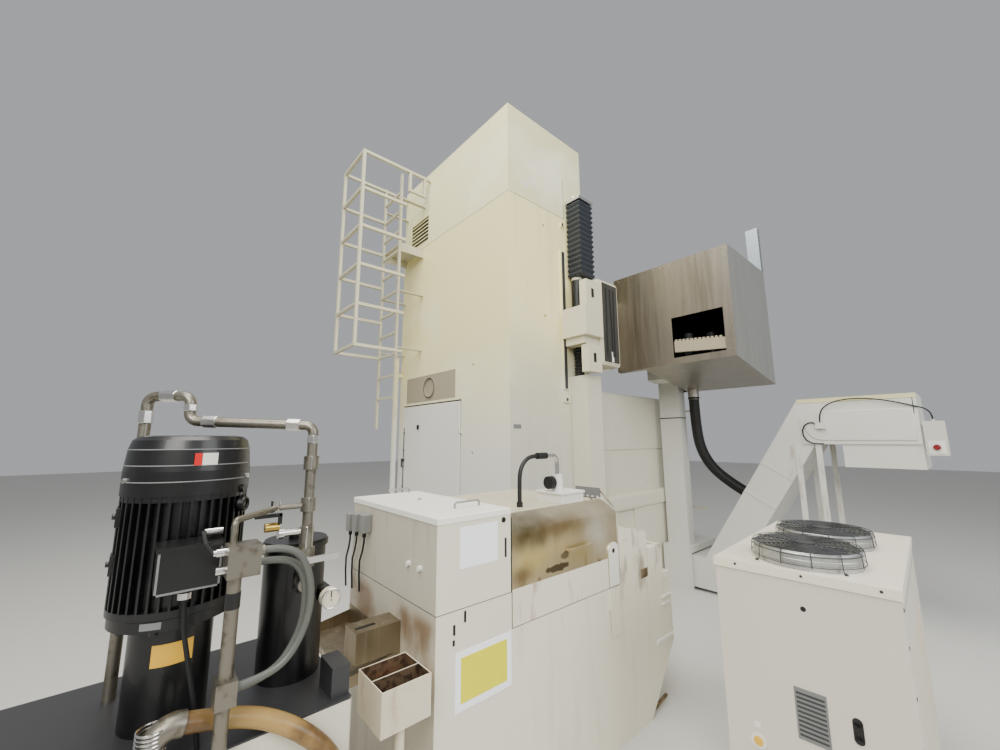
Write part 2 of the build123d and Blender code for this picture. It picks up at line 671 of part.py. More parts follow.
with BuildPart() as control_panel:
    block((PENDANT_X - 240, PENDANT_X + 240), (panel_face, panel_face + 120),
          (panel_top - 440, panel_top))
    chamfer(control_panel.edges().filter_by(Axis.Z), length=10)
    block((PENDANT_X - 200, PENDANT_X + 100), (panel_face, panel_face + 4),
          (panel_top - 270, panel_top - 40), Mode.SUBTRACT)
    with Locations((PENDANT_X - 95, panel_face - 4, panel_top - 355)):
        with GridLocations(46, 1, 6, 1):
            Box(26, 8, 26)
    block((PENDANT_X - 35, PENDANT_X + 35), (arm_end - 20, arm_end + 20), (panel_top, PANEL_PIVOT_Z + 15))
    rod((arm_end, PANEL_PIVOT_Z), 10, PENDANT_X - 58, PENDANT_X + 58, "x")
    rod(estop_spot, 16 + BORE_GAP, panel_face, panel_face + 40, "y", Mode.SUBTRACT)

write("control_panel", control_panel)

with BuildPart() as panel_estop:
    rod(estop_spot, 16, panel_face - 12, panel_face + 30, "y")
    rod(estop_spot, 30, panel_face - 30, panel_face - 12, "y")
    chamfer(panel_estop.faces().sort_by(Axis.Y)[0].edges(), length=6)

write("panel_estop", panel_estop)

# Crossrail and its lift

nut_front = RAIL_END_BACK
way_face = RAIL_FACE - RAIL_WAY

with BuildPart() as crossrail:
    across_x(
        (0, RAIL_HALF),
        [(870, RAIL_FLOOR + 20), (600, RAIL_FLOOR), (RAIL_FACE, RAIL_FLOOR + 60),
         (way_face, RAIL_FLOOR + 60), (way_face, RAIL_FLOOR + 230), (RAIL_FACE, RAIL_FLOOR + 270),
         (RAIL_FACE, RAIL_TOP - 270), (way_face, RAIL_TOP - 230), (way_face, RAIL_TOP - 60),
         (RAIL_FACE, RAIL_TOP - 60), (600, RAIL_TOP), (870, RAIL_TOP)],
    )
    way_inside = COLUMN_HALF - WAY_WIDTH
    block((way_inside + 20, RAIL_HALF - 60), (860, RAIL_BACK), (RAIL_FLOOR + 40, RAIL_TOP - 40))
    # closed end blocks that reach past the column to the lift screws
    block((RAIL_HALF, RAIL_END), (RAIL_END_FRONT, RAIL_END_BACK), (RAIL_FLOOR, RAIL_TOP))
    block((RAIL_END, RAIL_END + 12), (RAIL_END_FRONT + 6, RAIL_END_BACK - 40),
          (RAIL_FLOOR + 20, RAIL_TOP - 20))
    for bracket_z in (2500, 3210):
        block((1330, 1420), (RAIL_END_BACK, 1280), (bracket_z, bracket_z + 290))
        block((1345, 1420), (RAIL_END_BACK + 40, 1240), (bracket_z + 60, bracket_z + 230), Mode.SUBTRACT)
    # nut housing of the lift screw
    block((NUT_IN, NUT_OUT), (nut_front, NUT_BACK), (NUT_FLOOR, NUT_TOP))
    block((NUT_IN + 10, NUT_OUT - 60), (nut_front, NUT_BACK - 40), (NUT_FLOOR - 80, NUT_FLOOR))
    rod((SCREW_X, SCREW_Y), 60, NUT_TOP, BELLOWS_FLOOR)
    block((NUT_IN, SCREW_X + 60), (nut_front, SCREW_Y), (NUT_TOP, RAIL_TOP - 20))
    rod((SCREW_X, SCREW_Y), SCREW_RADIUS + BORE_GAP, NUT_FLOOR - 80, BELLOWS_FLOOR, mode=Mode.SUBTRACT)
    mirror(about=Plane.YZ)

write("crossrail", crossrail)

with BuildPart() as lift_screws:
    rod((SCREW_X, SCREW_Y), SCREW_RADIUS, 100, BELLOWS_TOP + 40)
    block((COLUMN_HALF, BELLOWS_X + BELLOWS_WIDTH / 2 + 4), (BELLOWS_Y - 130, BELLOWS_Y + 130),
          (BELLOWS_TOP + 5, BELLOWS_TOP + 40))
    rod((SCREW_X, SCREW_Y), 45, BELLOWS_TOP + 40, BELLOWS_TOP + 90)
    mirror(about=Plane.YZ)

write("lift_screws", lift_screws)


def fold_outline(half, low, high, folds):
    """The zigzag side view of a bellows, half wide at its crests."""
    pitch = (high - low) / folds
    right = []
    for fold in range(folds):
        right.append((half - FOLD_DEPTH, low + fold * pitch))
        right.append((half, low + (fold + 0.5) * pitch))
    right.append((half - FOLD_DEPTH, high))
    return right + [(-across, height) for across, height in reversed(right)]


with BuildPart() as upper_bellows:
    half_x = BELLOWS_WIDTH / 2
    half_y = BELLOWS_DEPTH / 2
    folds = (BELLOWS_FLOOR + SLIDE_GAP, BELLOWS_TOP, BELLOWS_FOLDS)
    across_y((BELLOWS_Y - half_y, BELLOWS_Y + half_y),
             [(BELLOWS_X + x, z) for x, z in fold_outline(half_x, *folds)])
    across_x((BELLOWS_X - half_x, BELLOWS_X + half_x),
             [(BELLOWS_Y + y, z) for y, z in fold_outline(half_y, *folds)], Mode.INTERSECT)
    cavity = FOLD_DEPTH + 4
    block((BELLOWS_X - half_x + cavity, BELLOWS_X + half_x - cavity),
          (BELLOWS_Y - half_y + cavity, BELLOWS_Y + half_y - cavity),
          (BELLOWS_FLOOR, BELLOWS_TOP), Mode.SUBTRACT)
    mirror(about=Plane.YZ)

write("upper_bellows", upper_bellows)

with BuildPart() as lower_bellows:
    with BuildSketch(Plane.XZ.offset(-SCREW_Y)) as boot_side:
        with BuildLine():
            pitch = (NUT_FLOOR - 80 - LOWER_BELLOWS_FLOOR - 2 * SLIDE_GAP) / LOWER_BELLOWS_FOLDS
            boot = []
            for fold in range(LOWER_BELLOWS_FOLDS):
                boot.append((46, LOWER_BELLOWS_FLOOR + SLIDE_GAP + fold * pitch))
                boot.append((58, LOWER_BELLOWS_FLOOR + SLIDE_GAP + (fold + 0.5) * pitch))
            boot.append((46, NUT_FLOOR - 80 - SLIDE_GAP))
            Polyline(
                (SCREW_X + 42, NUT_FLOOR - 80 - SLIDE_GAP), (SCREW_X + 42, LOWER_BELLOWS_FLOOR + SLIDE_GAP),
                *[(SCREW_X + radius, height) for radius, height in boot], close=True,
            )
        make_face()
    revolve(axis=Axis((SCREW_X, SCREW_Y, 0), (0, 0, 1)))
    mirror(about=Plane.YZ)

write("lower_bellows", lower_bellows)

saddle_back = way_face - SLIDE_GAP

with BuildPart() as saddle:
    block((-SADDLE_HALF, SADDLE_HALF), (SADDLE_FRONT, saddle_back), (RAIL_FLOOR, RAIL_TOP))
    block((-SADDLE_HALF, SADDLE_HALF), (saddle_back - 5, RAIL_FACE - 5),
          (RAIL_TOP - 60 + SLIDE_GAP, RAIL_TOP))
    block((-SADDLE_HALF, SADDLE_HALF), (saddle_back - 5, RAIL_FACE - 5),
          (RAIL_FLOOR, RAIL_FLOOR + 60 - SLIDE_GAP))
    block((-SADDLE_BOX, SADDLE_BOX), (-SADDLE_FRONT - 50, SADDLE_FRONT), (RAIL_FLOOR + 20, RAIL_TOP - 20))
    chamfer(saddle.edges().filter_by(Axis.Z).group_by(Axis.Y)[0], length=30)
    block((-RAM_HALF_X - SLIDE_GAP, RAM_HALF_X + SLIDE_GAP), (-RAM_HALF_Y - SLIDE_GAP, RAM_HALF_Y + SLIDE_GAP),
          (RAIL_FLOOR, RAIL_TOP), Mode.SUBTRACT)

write("saddle", saddle)

with BuildPart() as ram:
    block((-RAM_HALF_X, RAM_HALF_X), (-RAM_HALF_Y, RAM_HALF_Y), (RAM_FLOOR, RAM_FLOOR + RAM_LENGTH))
    chamfer(ram.faces().sort_by(Axis.Z)[-1].edges(), length=6)
    chamfer(ram.faces().sort_by(Axis.Z)[0].edges(), length=6)

write("ram", ram)

with BuildPart() as tool_holder:
    block((-110, 110), (-100, 100), (RAM_FLOOR - 90, RAM_FLOOR))
    chamfer(tool_holder.faces().sort_by(Axis.Z)[0].edges(), length=12)
    block((-32, 32), (-60, -20), (RAM_FLOOR - 190, RAM_FLOOR - 90))
    across_y((-58, -24), [(-32, RAM_FLOOR - 188), (-32, RAM_FLOOR - 150), (-44, RAM_FLOOR - 196)])

write("tool_holder", tool_holder)

# Tool magazine

frame_top = GUARD_FLOOR + 250
disc_floor = frame_top + 155


def guard_floor(y):
    """The height of the guard's sloping floor, on its inside, at a Y value."""
    slope = (GUARD_FOLD - GUARD_FLOOR) / (GUARD_BACK - GUARD_FRONT)
    return GUARD_FLOOR + GUARD_SHEET + (y - GUARD_FRONT) * slope


with BuildPart() as magazine_guard:
    across_x((GUARD_LEFT, GUARD_RIGHT),
             [(GUARD_FRONT, GUARD_FLOOR), (GUARD_BACK, GUARD_FOLD), (GUARD_BACK, GUARD_TOP),
              (GUARD_FRONT, GUARD_TOP)])
    block((GUARD_LEFT, RAISED_RIGHT), (GUARD_FRONT, RAISED_BACK), (GUARD_TOP, RAISED_TOP))
    within = (GUARD_FRONT + GUARD_SHEET, GUARD_BACK - GUARD_SHEET)
    across_x((GUARD_LEFT + GUARD_SHEET, GUARD_RIGHT - GUARD_SHEET),
             [(within[0], guard_floor(within[0])), (within[1], guard_floor(within[1])),
              (within[1], GUARD_TOP - GUARD_SHEET), (within[0], GUARD_TOP - GUARD_SHEET)],
             Mode.SUBTRACT)
    block((GUARD_LEFT + GUARD_SHEET, RAISED_RIGHT - GUARD_SHEET),
          (GUARD_FRONT + GUARD_SHEET, RAISED_BACK - GUARD_SHEET),
          (GUARD_TOP - GUARD_SHEET, RAISED_TOP - GUARD_SHEET), Mode.SUBTRACT)
    block((GUARD_RIGHT - GUARD_SHEET, GUARD_RIGHT), (GUARD_FRONT + 60, GUARD_BACK - 60),
          (GUARD_FLOOR, GUARD_TOP - 100), Mode.SUBTRACT)
    block((GUARD_OPEN, GUARD_RIGHT), (GUARD_FRONT + GUARD_SHEET, GUARD_BACK - 60),
          (GUARD_FLOOR, GUARD_FOLD + GUARD_SHEET), Mode.SUBTRACT)
    block((WINDOW_LEFT, WINDOW_RIGHT), (GUARD_BACK - GUARD_SHEET, GUARD_BACK),
          (WINDOW_FLOOR, WINDOW_TOP), Mode.SUBTRACT)
    rod((-1600, -690), 66, GUARD_FLOOR - 110, GUARD_FLOOR + 20)

write("magazine_guard", magazine_guard)

with BuildPart() as magazine_frame:
    # the post stands on a bridge across the chip conveyor
    block((-1449, GUARD_RIGHT - 10), (GUARD_FRONT + 15, -590), (BELT_TROUGH_TOP + 90, frame_top))
    block((-1500, -1170), (BELT_FRONT - 80, BELT_BACK + 80),
          (BELT_TROUGH_TOP + 20, BELT_TROUGH_TOP + 90))
    for leg_y in (BELT_FRONT - 80, BELT_BACK + 20):
        block((-1500, -1170), (leg_y, leg_y + 60), (0, BELT_TROUGH_TOP + 90))
    block((-1449, -1290), (-600, -120), (frame_top - 120, frame_top))
    # the arm under the tool disc, which also carries the guard's floor
    arm_y = (CAROUSEL_Y - 90, CAROUSEL_Y + 90)
    across_x((CAROUSEL_X - 100, -1290),
             [(arm_y[0], guard_floor(arm_y[0])), (arm_y[1], guard_floor(arm_y[1])),
              (arm_y[1], frame_top), (arm_y[0], frame_top)])
    rod((CAROUSEL_X, CAROUSEL_Y), 90, frame_top, disc_floor - SLIDE_GAP)
    rod((CAROUSEL_X, CAROUSEL_Y), 40 + BORE_GAP, frame_top - 60, disc_floor, mode=Mode.SUBTRACT)

write("magazine_frame", magazine_frame)

with BuildPart() as tool_carousel:
    rod((CAROUSEL_X, CAROUSEL_Y), 40, frame_top - 50, disc_floor)
    rod((CAROUSEL_X, CAROUSEL_Y), CAROUSEL_RADIUS, disc_floor, disc_floor + 36)
    rod((CAROUSEL_X, CAROUSEL_Y), 120, disc_floor + 36, disc_floor + 76)
    with Locations((CAROUSEL_X, CAROUSEL_Y, disc_floor + 36)):
        with PolarLocations(CAROUSEL_RADIUS - 62, POCKETS):
            Cylinder(46, 110, align=(Align.CENTER, Align.CENTER, Align.MIN))
            with Locations((0, 0, -36)):
                Cylinder(30, 90, align=(Align.CENTER, Align.CENTER, Align.MAX))

write("tool_carousel", tool_carousel)

# Chip conveyor

rise = tan(radians(BELT_RISE))
belt_back_shift = BELT_THICK / sin(radians(BELT_RISE))
head_start = BELT_FOOT_X - (BELT_HEAD_TOP - BELT_TROUGH_TOP) / rise
under_head = BELT_FOOT_X - belt_back_shift - (BELT_HEAD_FLOOR - BELT_TROUGH_TOP) / rise
under_foot = BELT_FOOT_X - belt_back_shift - (BELT_FLOOR - BELT_TROUGH_TOP) / rise
belt_inside = 880
head_shaft = (-3395, 1975)
conduit_foot_z = 1145
conduit_foot_x = BELT_FOOT_X - (conduit_foot_z - BELT_TROUGH_TOP) / rise

with BuildPart() as conveyor_body:
    with BuildSketch(Plane.XZ.offset(-BELT_BACK)) as belt_side:
        with BuildLine():
            Polyline(
                (belt_inside, BELT_FLOOR), (belt_inside, BELT_TROUGH_TOP),
                (BELT_FOOT_X, BELT_TROUGH_TOP), (head_start, BELT_HEAD_TOP),
                (BELT_HEAD_END, BELT_HEAD_TOP), (BELT_HEAD_END, CHUTE_FLOOR),
                (CHUTE_LEFT, CHUTE_FLOOR), (CHUTE_LEFT, BELT_HEAD_FLOOR),
                (under_head, BELT_HEAD_FLOOR), (under_foot, BELT_FLOOR), close=True,
            )
        make_face()
    extrude(amount=BELT_WIDTH)
    with BuildSketch(Plane.XZ.offset(-BELT_BACK + BELT_SHEET)) as belt_hollow:
        add(belt_side.sketch_local)
        offset(amount=-BELT_SHEET, kind=Kind.INTERSECTION, mode=Mode.REPLACE)
    extrude(amount=BELT_WIDTH - 2 * BELT_SHEET, mode=Mode.SUBTRACT)
    inside_y = (BELT_FRONT + BELT_SHEET, BELT_BACK - BELT_SHEET)
    block((-1120, belt_inside - BELT_SHEET), inside_y,
          (BELT_TROUGH_TOP - 2 * BELT_SHEET, BELT_TROUGH_TOP), Mode.SUBTRACT)
    block((BELT_HEAD_END + BELT_SHEET, CHUTE_LEFT - BELT_SHEET), inside_y,
          (CHUTE_FLOOR, CHUTE_FLOOR + 2 * BELT_SHEET), Mode.SUBTRACT)
    # feet of the trough, legs of the head, and the thick side plates that carry the shaft
    for foot_x in (-1000, 0, 800):
        block((foot_x, foot_x + 60), (BELT_FRONT + 60, BELT_BACK - 60), (0, BELT_FLOOR))
    for plate_y in (BELT_BACK, BELT_FRONT - 14):
        block((BELT_HEAD_END, -2750), (plate_y, plate_y + 14), (BELT_HEAD_FLOOR, 2020))
        for leg_x in (-2880, -2700):
            block((leg_x - 25, leg_x + 25), (plate_y, plate_y + 14), (0, BELT_HEAD_FLOOR))
    for cross_z in (120, 820):
        block((-2905, -2855), (BELT_FRONT, BELT_BACK), (cross_z, cross_z + 50))
    # gearmotor on the far side of the head
    rod(head_shaft, 95, BELT_FRONT - 130, BELT_FRONT - 14, "y")
    rod((head_shaft[0], BELT_FRONT - 75), 62, head_shaft[1] - 330, head_shaft[1] - 60)
    rod(head_shaft, 24 + BORE_GAP, BELT_FRONT - 100, BELT_BACK + 14, "y", Mode.SUBTRACT)
    # gland box of the cable, and the spigot that takes the conduit hose
    block((-2962, -2882), (BELT_BACK + 14, BELT_BACK + 62), (1900, 1960))
    slope = Location((conduit_foot_x, -860, conduit_foot_z), (0, BELT_RISE, 0))
    with Locations(slope):
        Cylinder(66, 60, align=(Align.CENTER, Align.CENTER, Align.MIN))

write("conveyor_body", conveyor_body)

# Parts of the conveyor that move or hang on it

with BuildPart() as conveyor_shaft:
    rod(head_shaft, 24, BELT_FRONT - 100, BELT_BACK + 14, "y")
    for wheel_y in (BELT_FRONT + 60, BELT_BACK - 90):
        with BuildSketch(Plane.XZ.offset(-wheel_y - 30)) as sprocket:
            with Locations(head_shaft):
                Circle(150)
                with PolarLocations(150, 10):
                    Circle(26, mode=Mode.SUBTRACT)
        extrude(sprocket.sketch, amount=30)

write("conveyor_shaft", conveyor_shaft)

button_spot = (-3712, 1722)

with BuildPart() as estop_box:
    block((BOX_LEFT, BELT_HEAD_END - 14), (-600, -528), (1650, 1950))
    chamfer(estop_box.edges().filter_by(Axis.Y), length=6)
    block((BELT_HEAD_END - 14, BELT_HEAD_END), (-592, -560), (1680, 1920))
    rod(button_spot, 12 + BORE_GAP, -570, -528, "y", Mode.SUBTRACT)
    rod((-3712, -564), 10, 1950, 1966)

write("estop_box", estop_box)

with BuildPart() as estop_button:
    rod(button_spot, 12, -560, -516, "y")
    rod(button_spot, 24, -516, -496, "y")
    chamfer(estop_button.faces().sort_by(Axis.Y)[-1].edges(), length=6)

write("estop_button", estop_button)

with BuildPart() as belt_cable:
    cord(
        "belt_cable",
        [(-2920, -512, 1960), (-2920, -512, 2065), (-3005, -514, 2155), (-3150, -516, 2188),
         (-3310, -518, 2180), (-3460, -524, 2145), (-3595, -534, 2095), (-3712, -564, 2050),
         (-3712, -564, 1966)],
        12,
    )

write("belt_cable", belt_cable)

with BuildPart() as conduit_hose:
    out_x = sin(radians(BELT_RISE))
    out_z = cos(radians(BELT_RISE))
    foot = (conduit_foot_x + 60 * out_x, -860, conduit_foot_z + 60 * out_z)
    elbow = (foot[0] + 330 * out_x, -860, foot[2] + 330 * out_z)
    cord(
        "conduit_hose",
        [(-1600, -690, GUARD_FLOOR - 110), (-1600, -690, 1960), (-1612, -770, 1630), elbow, foot],
        120,
    )

write("conduit_hose", conduit_hose)

# Coolant unit

deck_edge = TANK_LEFT + 126
far_end_top = 850

with BuildPart() as coolant_tank:
    across_x(
        (TANK_LEFT, TANK_RIGHT),
        [(TANK_BACK, 0), (TANK_BACK, CABINET_SEAM), (CABINET_FRONT, CABINET_SEAM),
         (CABINET_FRONT, TANK_TOP), (HOOD_FRONT, TANK_TOP), (TANK_FRONT, far_end_top),
         (TANK_FRONT, TANK_NOSE), (TANK_HEEL, 0)],
    )
    block((deck_edge, TANK_RIGHT), (HOOD_FRONT, CABINET_FRONT), (TANK_TOP, HOOD_TOP))
    block((deck_edge + 12, TANK_RIGHT - 12), (HOOD_FRONT + 12, CABINET_FRONT - 12),
          (120, HOOD_TOP - 12), Mode.SUBTRACT)
    block((TANK_LEFT + 12, TANK_RIGHT - 12), (CABINET_FRONT + 12, TANK_BACK - 12),
          (12, CABINET_SEAM), Mode.SUBTRACT)
    # boxes on the lower end
    block((TANK_LEFT, TANK_LEFT + 420), (1960, 2290), (far_end_top - 20, 1160))
    across_x((TANK_LEFT, TANK_LEFT + 420), [(1960, 1160), (2290, 1160), (2290, 1240), (1975, 1170)])
    block((TANK_LEFT, TANK_LEFT + 380), (1760, 1950), (far_end_top - 20, 1050))
    # end pin of the hood's hinge, and the return pipe to the machine
    block((deck_edge - 20, deck_edge + 20), (HOOD_FRONT - 14, HOOD_FRONT), (HOOD_TOP - 30, HOOD_TOP + 10))
    rod((deck_edge - 10, HOOD_TOP), 4, HOOD_FRONT, HOOD_FRONT + 34, "y")
    rod((1900, 520), 45, TANK_RIGHT, -COLUMN_HALF, "x")
    # lower half of the lifting lug under the hood, and a skirt at the floor
    block((TANK_LEFT - 6, TANK_LEFT), (HOOD_FRONT + 6, HOOD_FRONT + 110), (770, TANK_TOP - 2))
    block((TANK_LEFT + 60, TANK_RIGHT - 60), (TANK_BACK, TANK_BACK + 40), (0, 110))

write("coolant_tank", coolant_tank)

lid_hinge = (TANK_RIGHT + 20, CABINET_TOP + 6)

with BuildPart() as tank_cabinet:
    block((TANK_LEFT, TANK_RIGHT), (CABINET_FRONT, TANK_BACK), (CABINET_SEAM, CABINET_TOP))
    chamfer(tank_cabinet.edges().filter_by(Axis.Z), length=4)
    block((TANK_LEFT + TANK_SHEET, TANK_RIGHT - TANK_SHEET),
          (CABINET_FRONT + TANK_SHEET, TANK_BACK - TANK_SHEET), (CABINET_SEAM, CABINET_TOP), Mode.SUBTRACT)
    block((TANK_LEFT, TANK_LEFT + TANK_SHEET), (3262, 3306), (1384, 1420), Mode.SUBTRACT)
    block((TANK_RIGHT, TANK_RIGHT + 60), (3420, 3620), (1180, 1400))
    rod((deck_edge - 10, HOOD_TOP), 4, CABINET_FRONT - 34, CABINET_FRONT, "y")

    for start in LID_HINGES:
        block((TANK_RIGHT, lid_hinge[0] + 8), (start - 12, start), (CABINET_TOP - 20, CABINET_TOP - 1))
        block((lid_hinge[0] - 10, lid_hinge[0] + 8), (start - 12, start), (CABINET_TOP - 1, CABINET_TOP + 14))
        rod(lid_hinge, 4, start - 12, start + 50, "y")

write("tank_cabinet", tank_cabinet)

with BuildPart() as cabinet_lid:
    block((TANK_LEFT - 4, TANK_RIGHT + 4), (CABINET_FRONT + 4, TANK_BACK + 4),
          (CABINET_TOP + SLIDE_GAP, LID_TOP))
    chamfer(cabinet_lid.faces().sort_by(Axis.Z)[-1].edges(), length=5)
    block((TANK_LEFT + 40, TANK_RIGHT - 40), (CABINET_FRONT + 45, TANK_BACK - 40),
          (LID_TOP - 2, LID_TOP), Mode.SUBTRACT)
    for handle_x in (TANK_LEFT + 170, TANK_RIGHT - 290):
        for post_x in (handle_x, handle_x + 108):
            block((post_x, post_x + 12), (TANK_BACK - 110, TANK_BACK - 98), (LID_TOP - 3, LID_TOP + 30))
        block((handle_x, handle_x + 120), (TANK_BACK - 110, TANK_BACK - 98), (LID_TOP + 20, LID_TOP + 32))
    for start in LID_HINGES:
        barrel = (start + SLIDE_GAP, start + 50)
        rod(lid_hinge, 8, *barrel, "y")
        block((TANK_RIGHT - 6, lid_hinge[0]), barrel, (CABINET_TOP + 8, CABINET_TOP + 14))
        rod(lid_hinge, 4 + BORE_GAP, *barrel, "y", Mode.SUBTRACT)

write("cabinet_lid", cabinet_lid)

hood_pivot = (deck_edge - 10, HOOD_TOP)

with BuildPart() as coolant_hood:
    sheet = 4
    across_y(
        (HOOD_FRONT + 4, CABINET_FRONT - 4),
        [(TANK_LEFT, TANK_TOP + 4), (TANK_LEFT, HOOD_FOLD), (deck_edge - 16, HOOD_TOP + 3),
         (deck_edge - 16, HOOD_TOP - 3), (TANK_LEFT + sheet, HOOD_FOLD - 3), (TANK_LEFT + sheet, TANK_TOP + 4)],
    )
    for end_y in (HOOD_FRONT + 4, CABINET_FRONT - 8):
        across_y(
            (end_y, end_y + 4),
            [(TANK_LEFT, TANK_TOP + 4), (TANK_LEFT, HOOD_FOLD), (deck_edge - 16, HOOD_TOP),
             (deck_edge - 16, TANK_TOP + 4)],
        )
    rod((hood_pivot[0], hood_pivot[1]), 7, HOOD_FRONT + 4, CABINET_FRONT - 4, "y")
    # doubling plate with a lifting hole at the far corner
    block((TANK_LEFT - 6, TANK_LEFT), (HOOD_FRONT + 6, HOOD_FRONT + 110), (TANK_TOP + 10, 1106))
    rod((HOOD_FRONT + 58, 1106), 52, TANK_LEFT - 6, TANK_LEFT, "x")
    rod((HOOD_FRONT + 58, 1106), 16, TANK_LEFT - 6, TANK_LEFT + 4, "x", Mode.SUBTRACT)
    rod((hood_pivot[0], hood_pivot[1]), 4 + BORE_GAP, HOOD_FRONT, HOOD_FRONT + 36, "y", Mode.SUBTRACT)
    rod((hood_pivot[0], hood_pivot[1]), 4 + BORE_GAP, CABINET_FRONT - 36, CABINET_FRONT, "y", Mode.SUBTRACT)
    for handle_y in (HOOD_FRONT + 300, HOOD_FRONT + 500):
        block((TANK_LEFT - 26, TANK_LEFT), (handle_y, handle_y + 12), (1180, 1192))
    block((TANK_LEFT - 32, TANK_LEFT - 22), (HOOD_FRONT + 300, HOOD_FRONT + 512), (1178, 1194))

write("coolant_hood", coolant_hood)

with BuildPart() as riser_pump:
    block((-2196, -1984), (2454, 2666), (HOOD_TOP, HOOD_TOP + 56))
    block((-2204, -1976), (2446, 2674), (HOOD_TOP + 56, HOOD_TOP + 70))
    # valve, elbow pipe and the coupling that takes the hose
    rod((-2090, 2585), 36, HOOD_TOP + 70, HOOD_TOP + 172)
    rod((-2090, HOOD_TOP + 125), 12, 2610, 2650, "y")
    rod((-2090, HOOD_TOP + 125), 40, 2636, 2676, "y")
    tube([(-2090, 2700, 1697), (-2090, 2585, 1697), (-2090, 2585, HOOD_TOP + 160)], 13, 45)
    rod((-2090, 1697), 20, 2690, 2775, "y")
    rod((-2090, 2930), 18, HOOD_TOP, HOOD_TOP + 30)
    # bracket with slots beside the pump
    block((-2200, -1990), (2270, 2276), (HOOD_TOP - 80, HOOD_TOP + 70))
    block((-2200, -1990), (2270, HOOD_FRONT), (HOOD_TOP - 80, HOOD_TOP - 74))
    with Locations((-2095, 2273, HOOD_TOP + 10)):
        with GridLocations(40, 34, 5, 3):
            Box(26, 12, 14, rotation=(90, 0, 0), mode=Mode.SUBTRACT)

write("riser_pump", riser_pump)

with BuildPart() as riser_hose:
    cord(
        "riser_hose",
        [(-2090, 2930, HOOD_TOP + 30), (-2090, 2930, 1515), (-2090, 2927, 1605), (-2090, 2894, 1663),
         (-2090, 2836, 1697), (-2090, 2775, 1697)],
        26,
    )

write("riser_hose", riser_hose)

with BuildPart() as chip_box:
    block((CHIP_LEFT, CHIP_RIGHT), (CHIP_NEAR, CHIP_BACK), (CHIP_FLOOR, CHIP_TOP))
    within_y = (CHIP_NEAR + 4, CHIP_BACK - 4)
    block((CHIP_LEFT + 4, CHIP_WALL), within_y, (CHIP_FLOOR + 4, CHIP_TOP), Mode.SUBTRACT)
    block((CHIP_WALL + 4, CHIP_RIGHT - 4), within_y, (CHIP_FLOOR + 84, CHIP_TOP), Mode.SUBTRACT)
    # arms from the tank's end, and the outlet below
    for arm_x in (CHIP_WALL + 10, CHIP_RIGHT - 30):
        block((arm_x, arm_x + 20), (TANK_BACK, CHIP_NEAR), (CHIP_FLOOR + 40, CHIP_FLOOR + 60))
    rod((CHIP_LEFT + 50, (CHIP_NEAR + CHIP_BACK) / 2), 18, CHIP_FLOOR - 200, CHIP_FLOOR)

write("chip_box", chip_box)

with BuildPart() as drip_tray:
    across_x(
        (-2038, -1420),
        [(TANK_BACK, 860), (TANK_BACK + 4, 860), (TANK_BACK + 4, 764), (3900, 752), (3908, 790),
         (3912, 790), (3903, 748), (TANK_BACK, 760)],
    )
    for end_x in (-2038, -1424):
        across_x((end_x, end_x + 4), [(TANK_BACK, 760), (TANK_BACK, 830), (3912, 790), (3903, 748)])
    # closed chute above the tray's end, with a slot in its top
    block((-2038, -1910), (TANK_BACK, 3882), (826, 955))
    block((-2034, -1914), (TANK_BACK, 3878), (826, 951), Mode.SUBTRACT)
    block((-1998, -1972), (3772, 3868), (940, 955), Mode.SUBTRACT)

write("drip_tray", drip_tray)

# High pressure unit

with BuildPart() as pressure_tank:
    block((UNIT_LEFT, UNIT_RIGHT), (UNIT_FRONT, UNIT_BACK), (60, UNIT_TOP))
    chamfer(pressure_tank.edges().filter_by(Axis.Z), length=6)
    for foot_y in (UNIT_FRONT + 40, UNIT_BACK - 120):
        block((UNIT_LEFT + 40, UNIT_RIGHT - 40), (foot_y, foot_y + 80), (0, 60))
    block((UNIT_LEFT + 20, UNIT_LEFT + 130), (UNIT_FRONT + 4, UNIT_FRONT + 60), (UNIT_TOP, UNIT_TOP + 90))
    rod((-2100, 300), 30, TANK_BACK, UNIT_FRONT, "y")
    block((-2644, UNIT_LEFT), (4068, 4128), (380, 440))
    rod((-2604, 4098), 30, 440, 450)
    rod((-2510, 4590), 34, UNIT_TOP, UNIT_TOP + 35)

write("pressure_tank", pressure_tank)

motor_spot = (MOTOR_X, MOTOR_Y)

with BuildPart() as pump_body:
    rod(motor_spot, BELL_RADIUS, UNIT_TOP, FLANGE_FLOOR)
    rod(motor_spot, FLANGE_RADIUS, FLANGE_FLOOR, FRAME_FLOOR - 4)
    chamfer(pump_body.edges().filter_by(GeomType.CIRCLE).group_by(Axis.Z)[-1], length=3)
    with Locations((MOTOR_X, MOTOR_Y, FLANGE_FLOOR - 14)):
        with PolarLocations(FLANGE_RADIUS - 24, 8, start_angle=22.5):
            Cylinder(10, 14, align=(Align.CENTER, Align.CENTER, Align.MIN))
    rod(motor_spot, MOTOR_SHAFT + BORE_GAP, FLANGE_FLOOR - 60, FRAME_FLOOR, mode=Mode.SUBTRACT)

write("pump_body", pump_body)

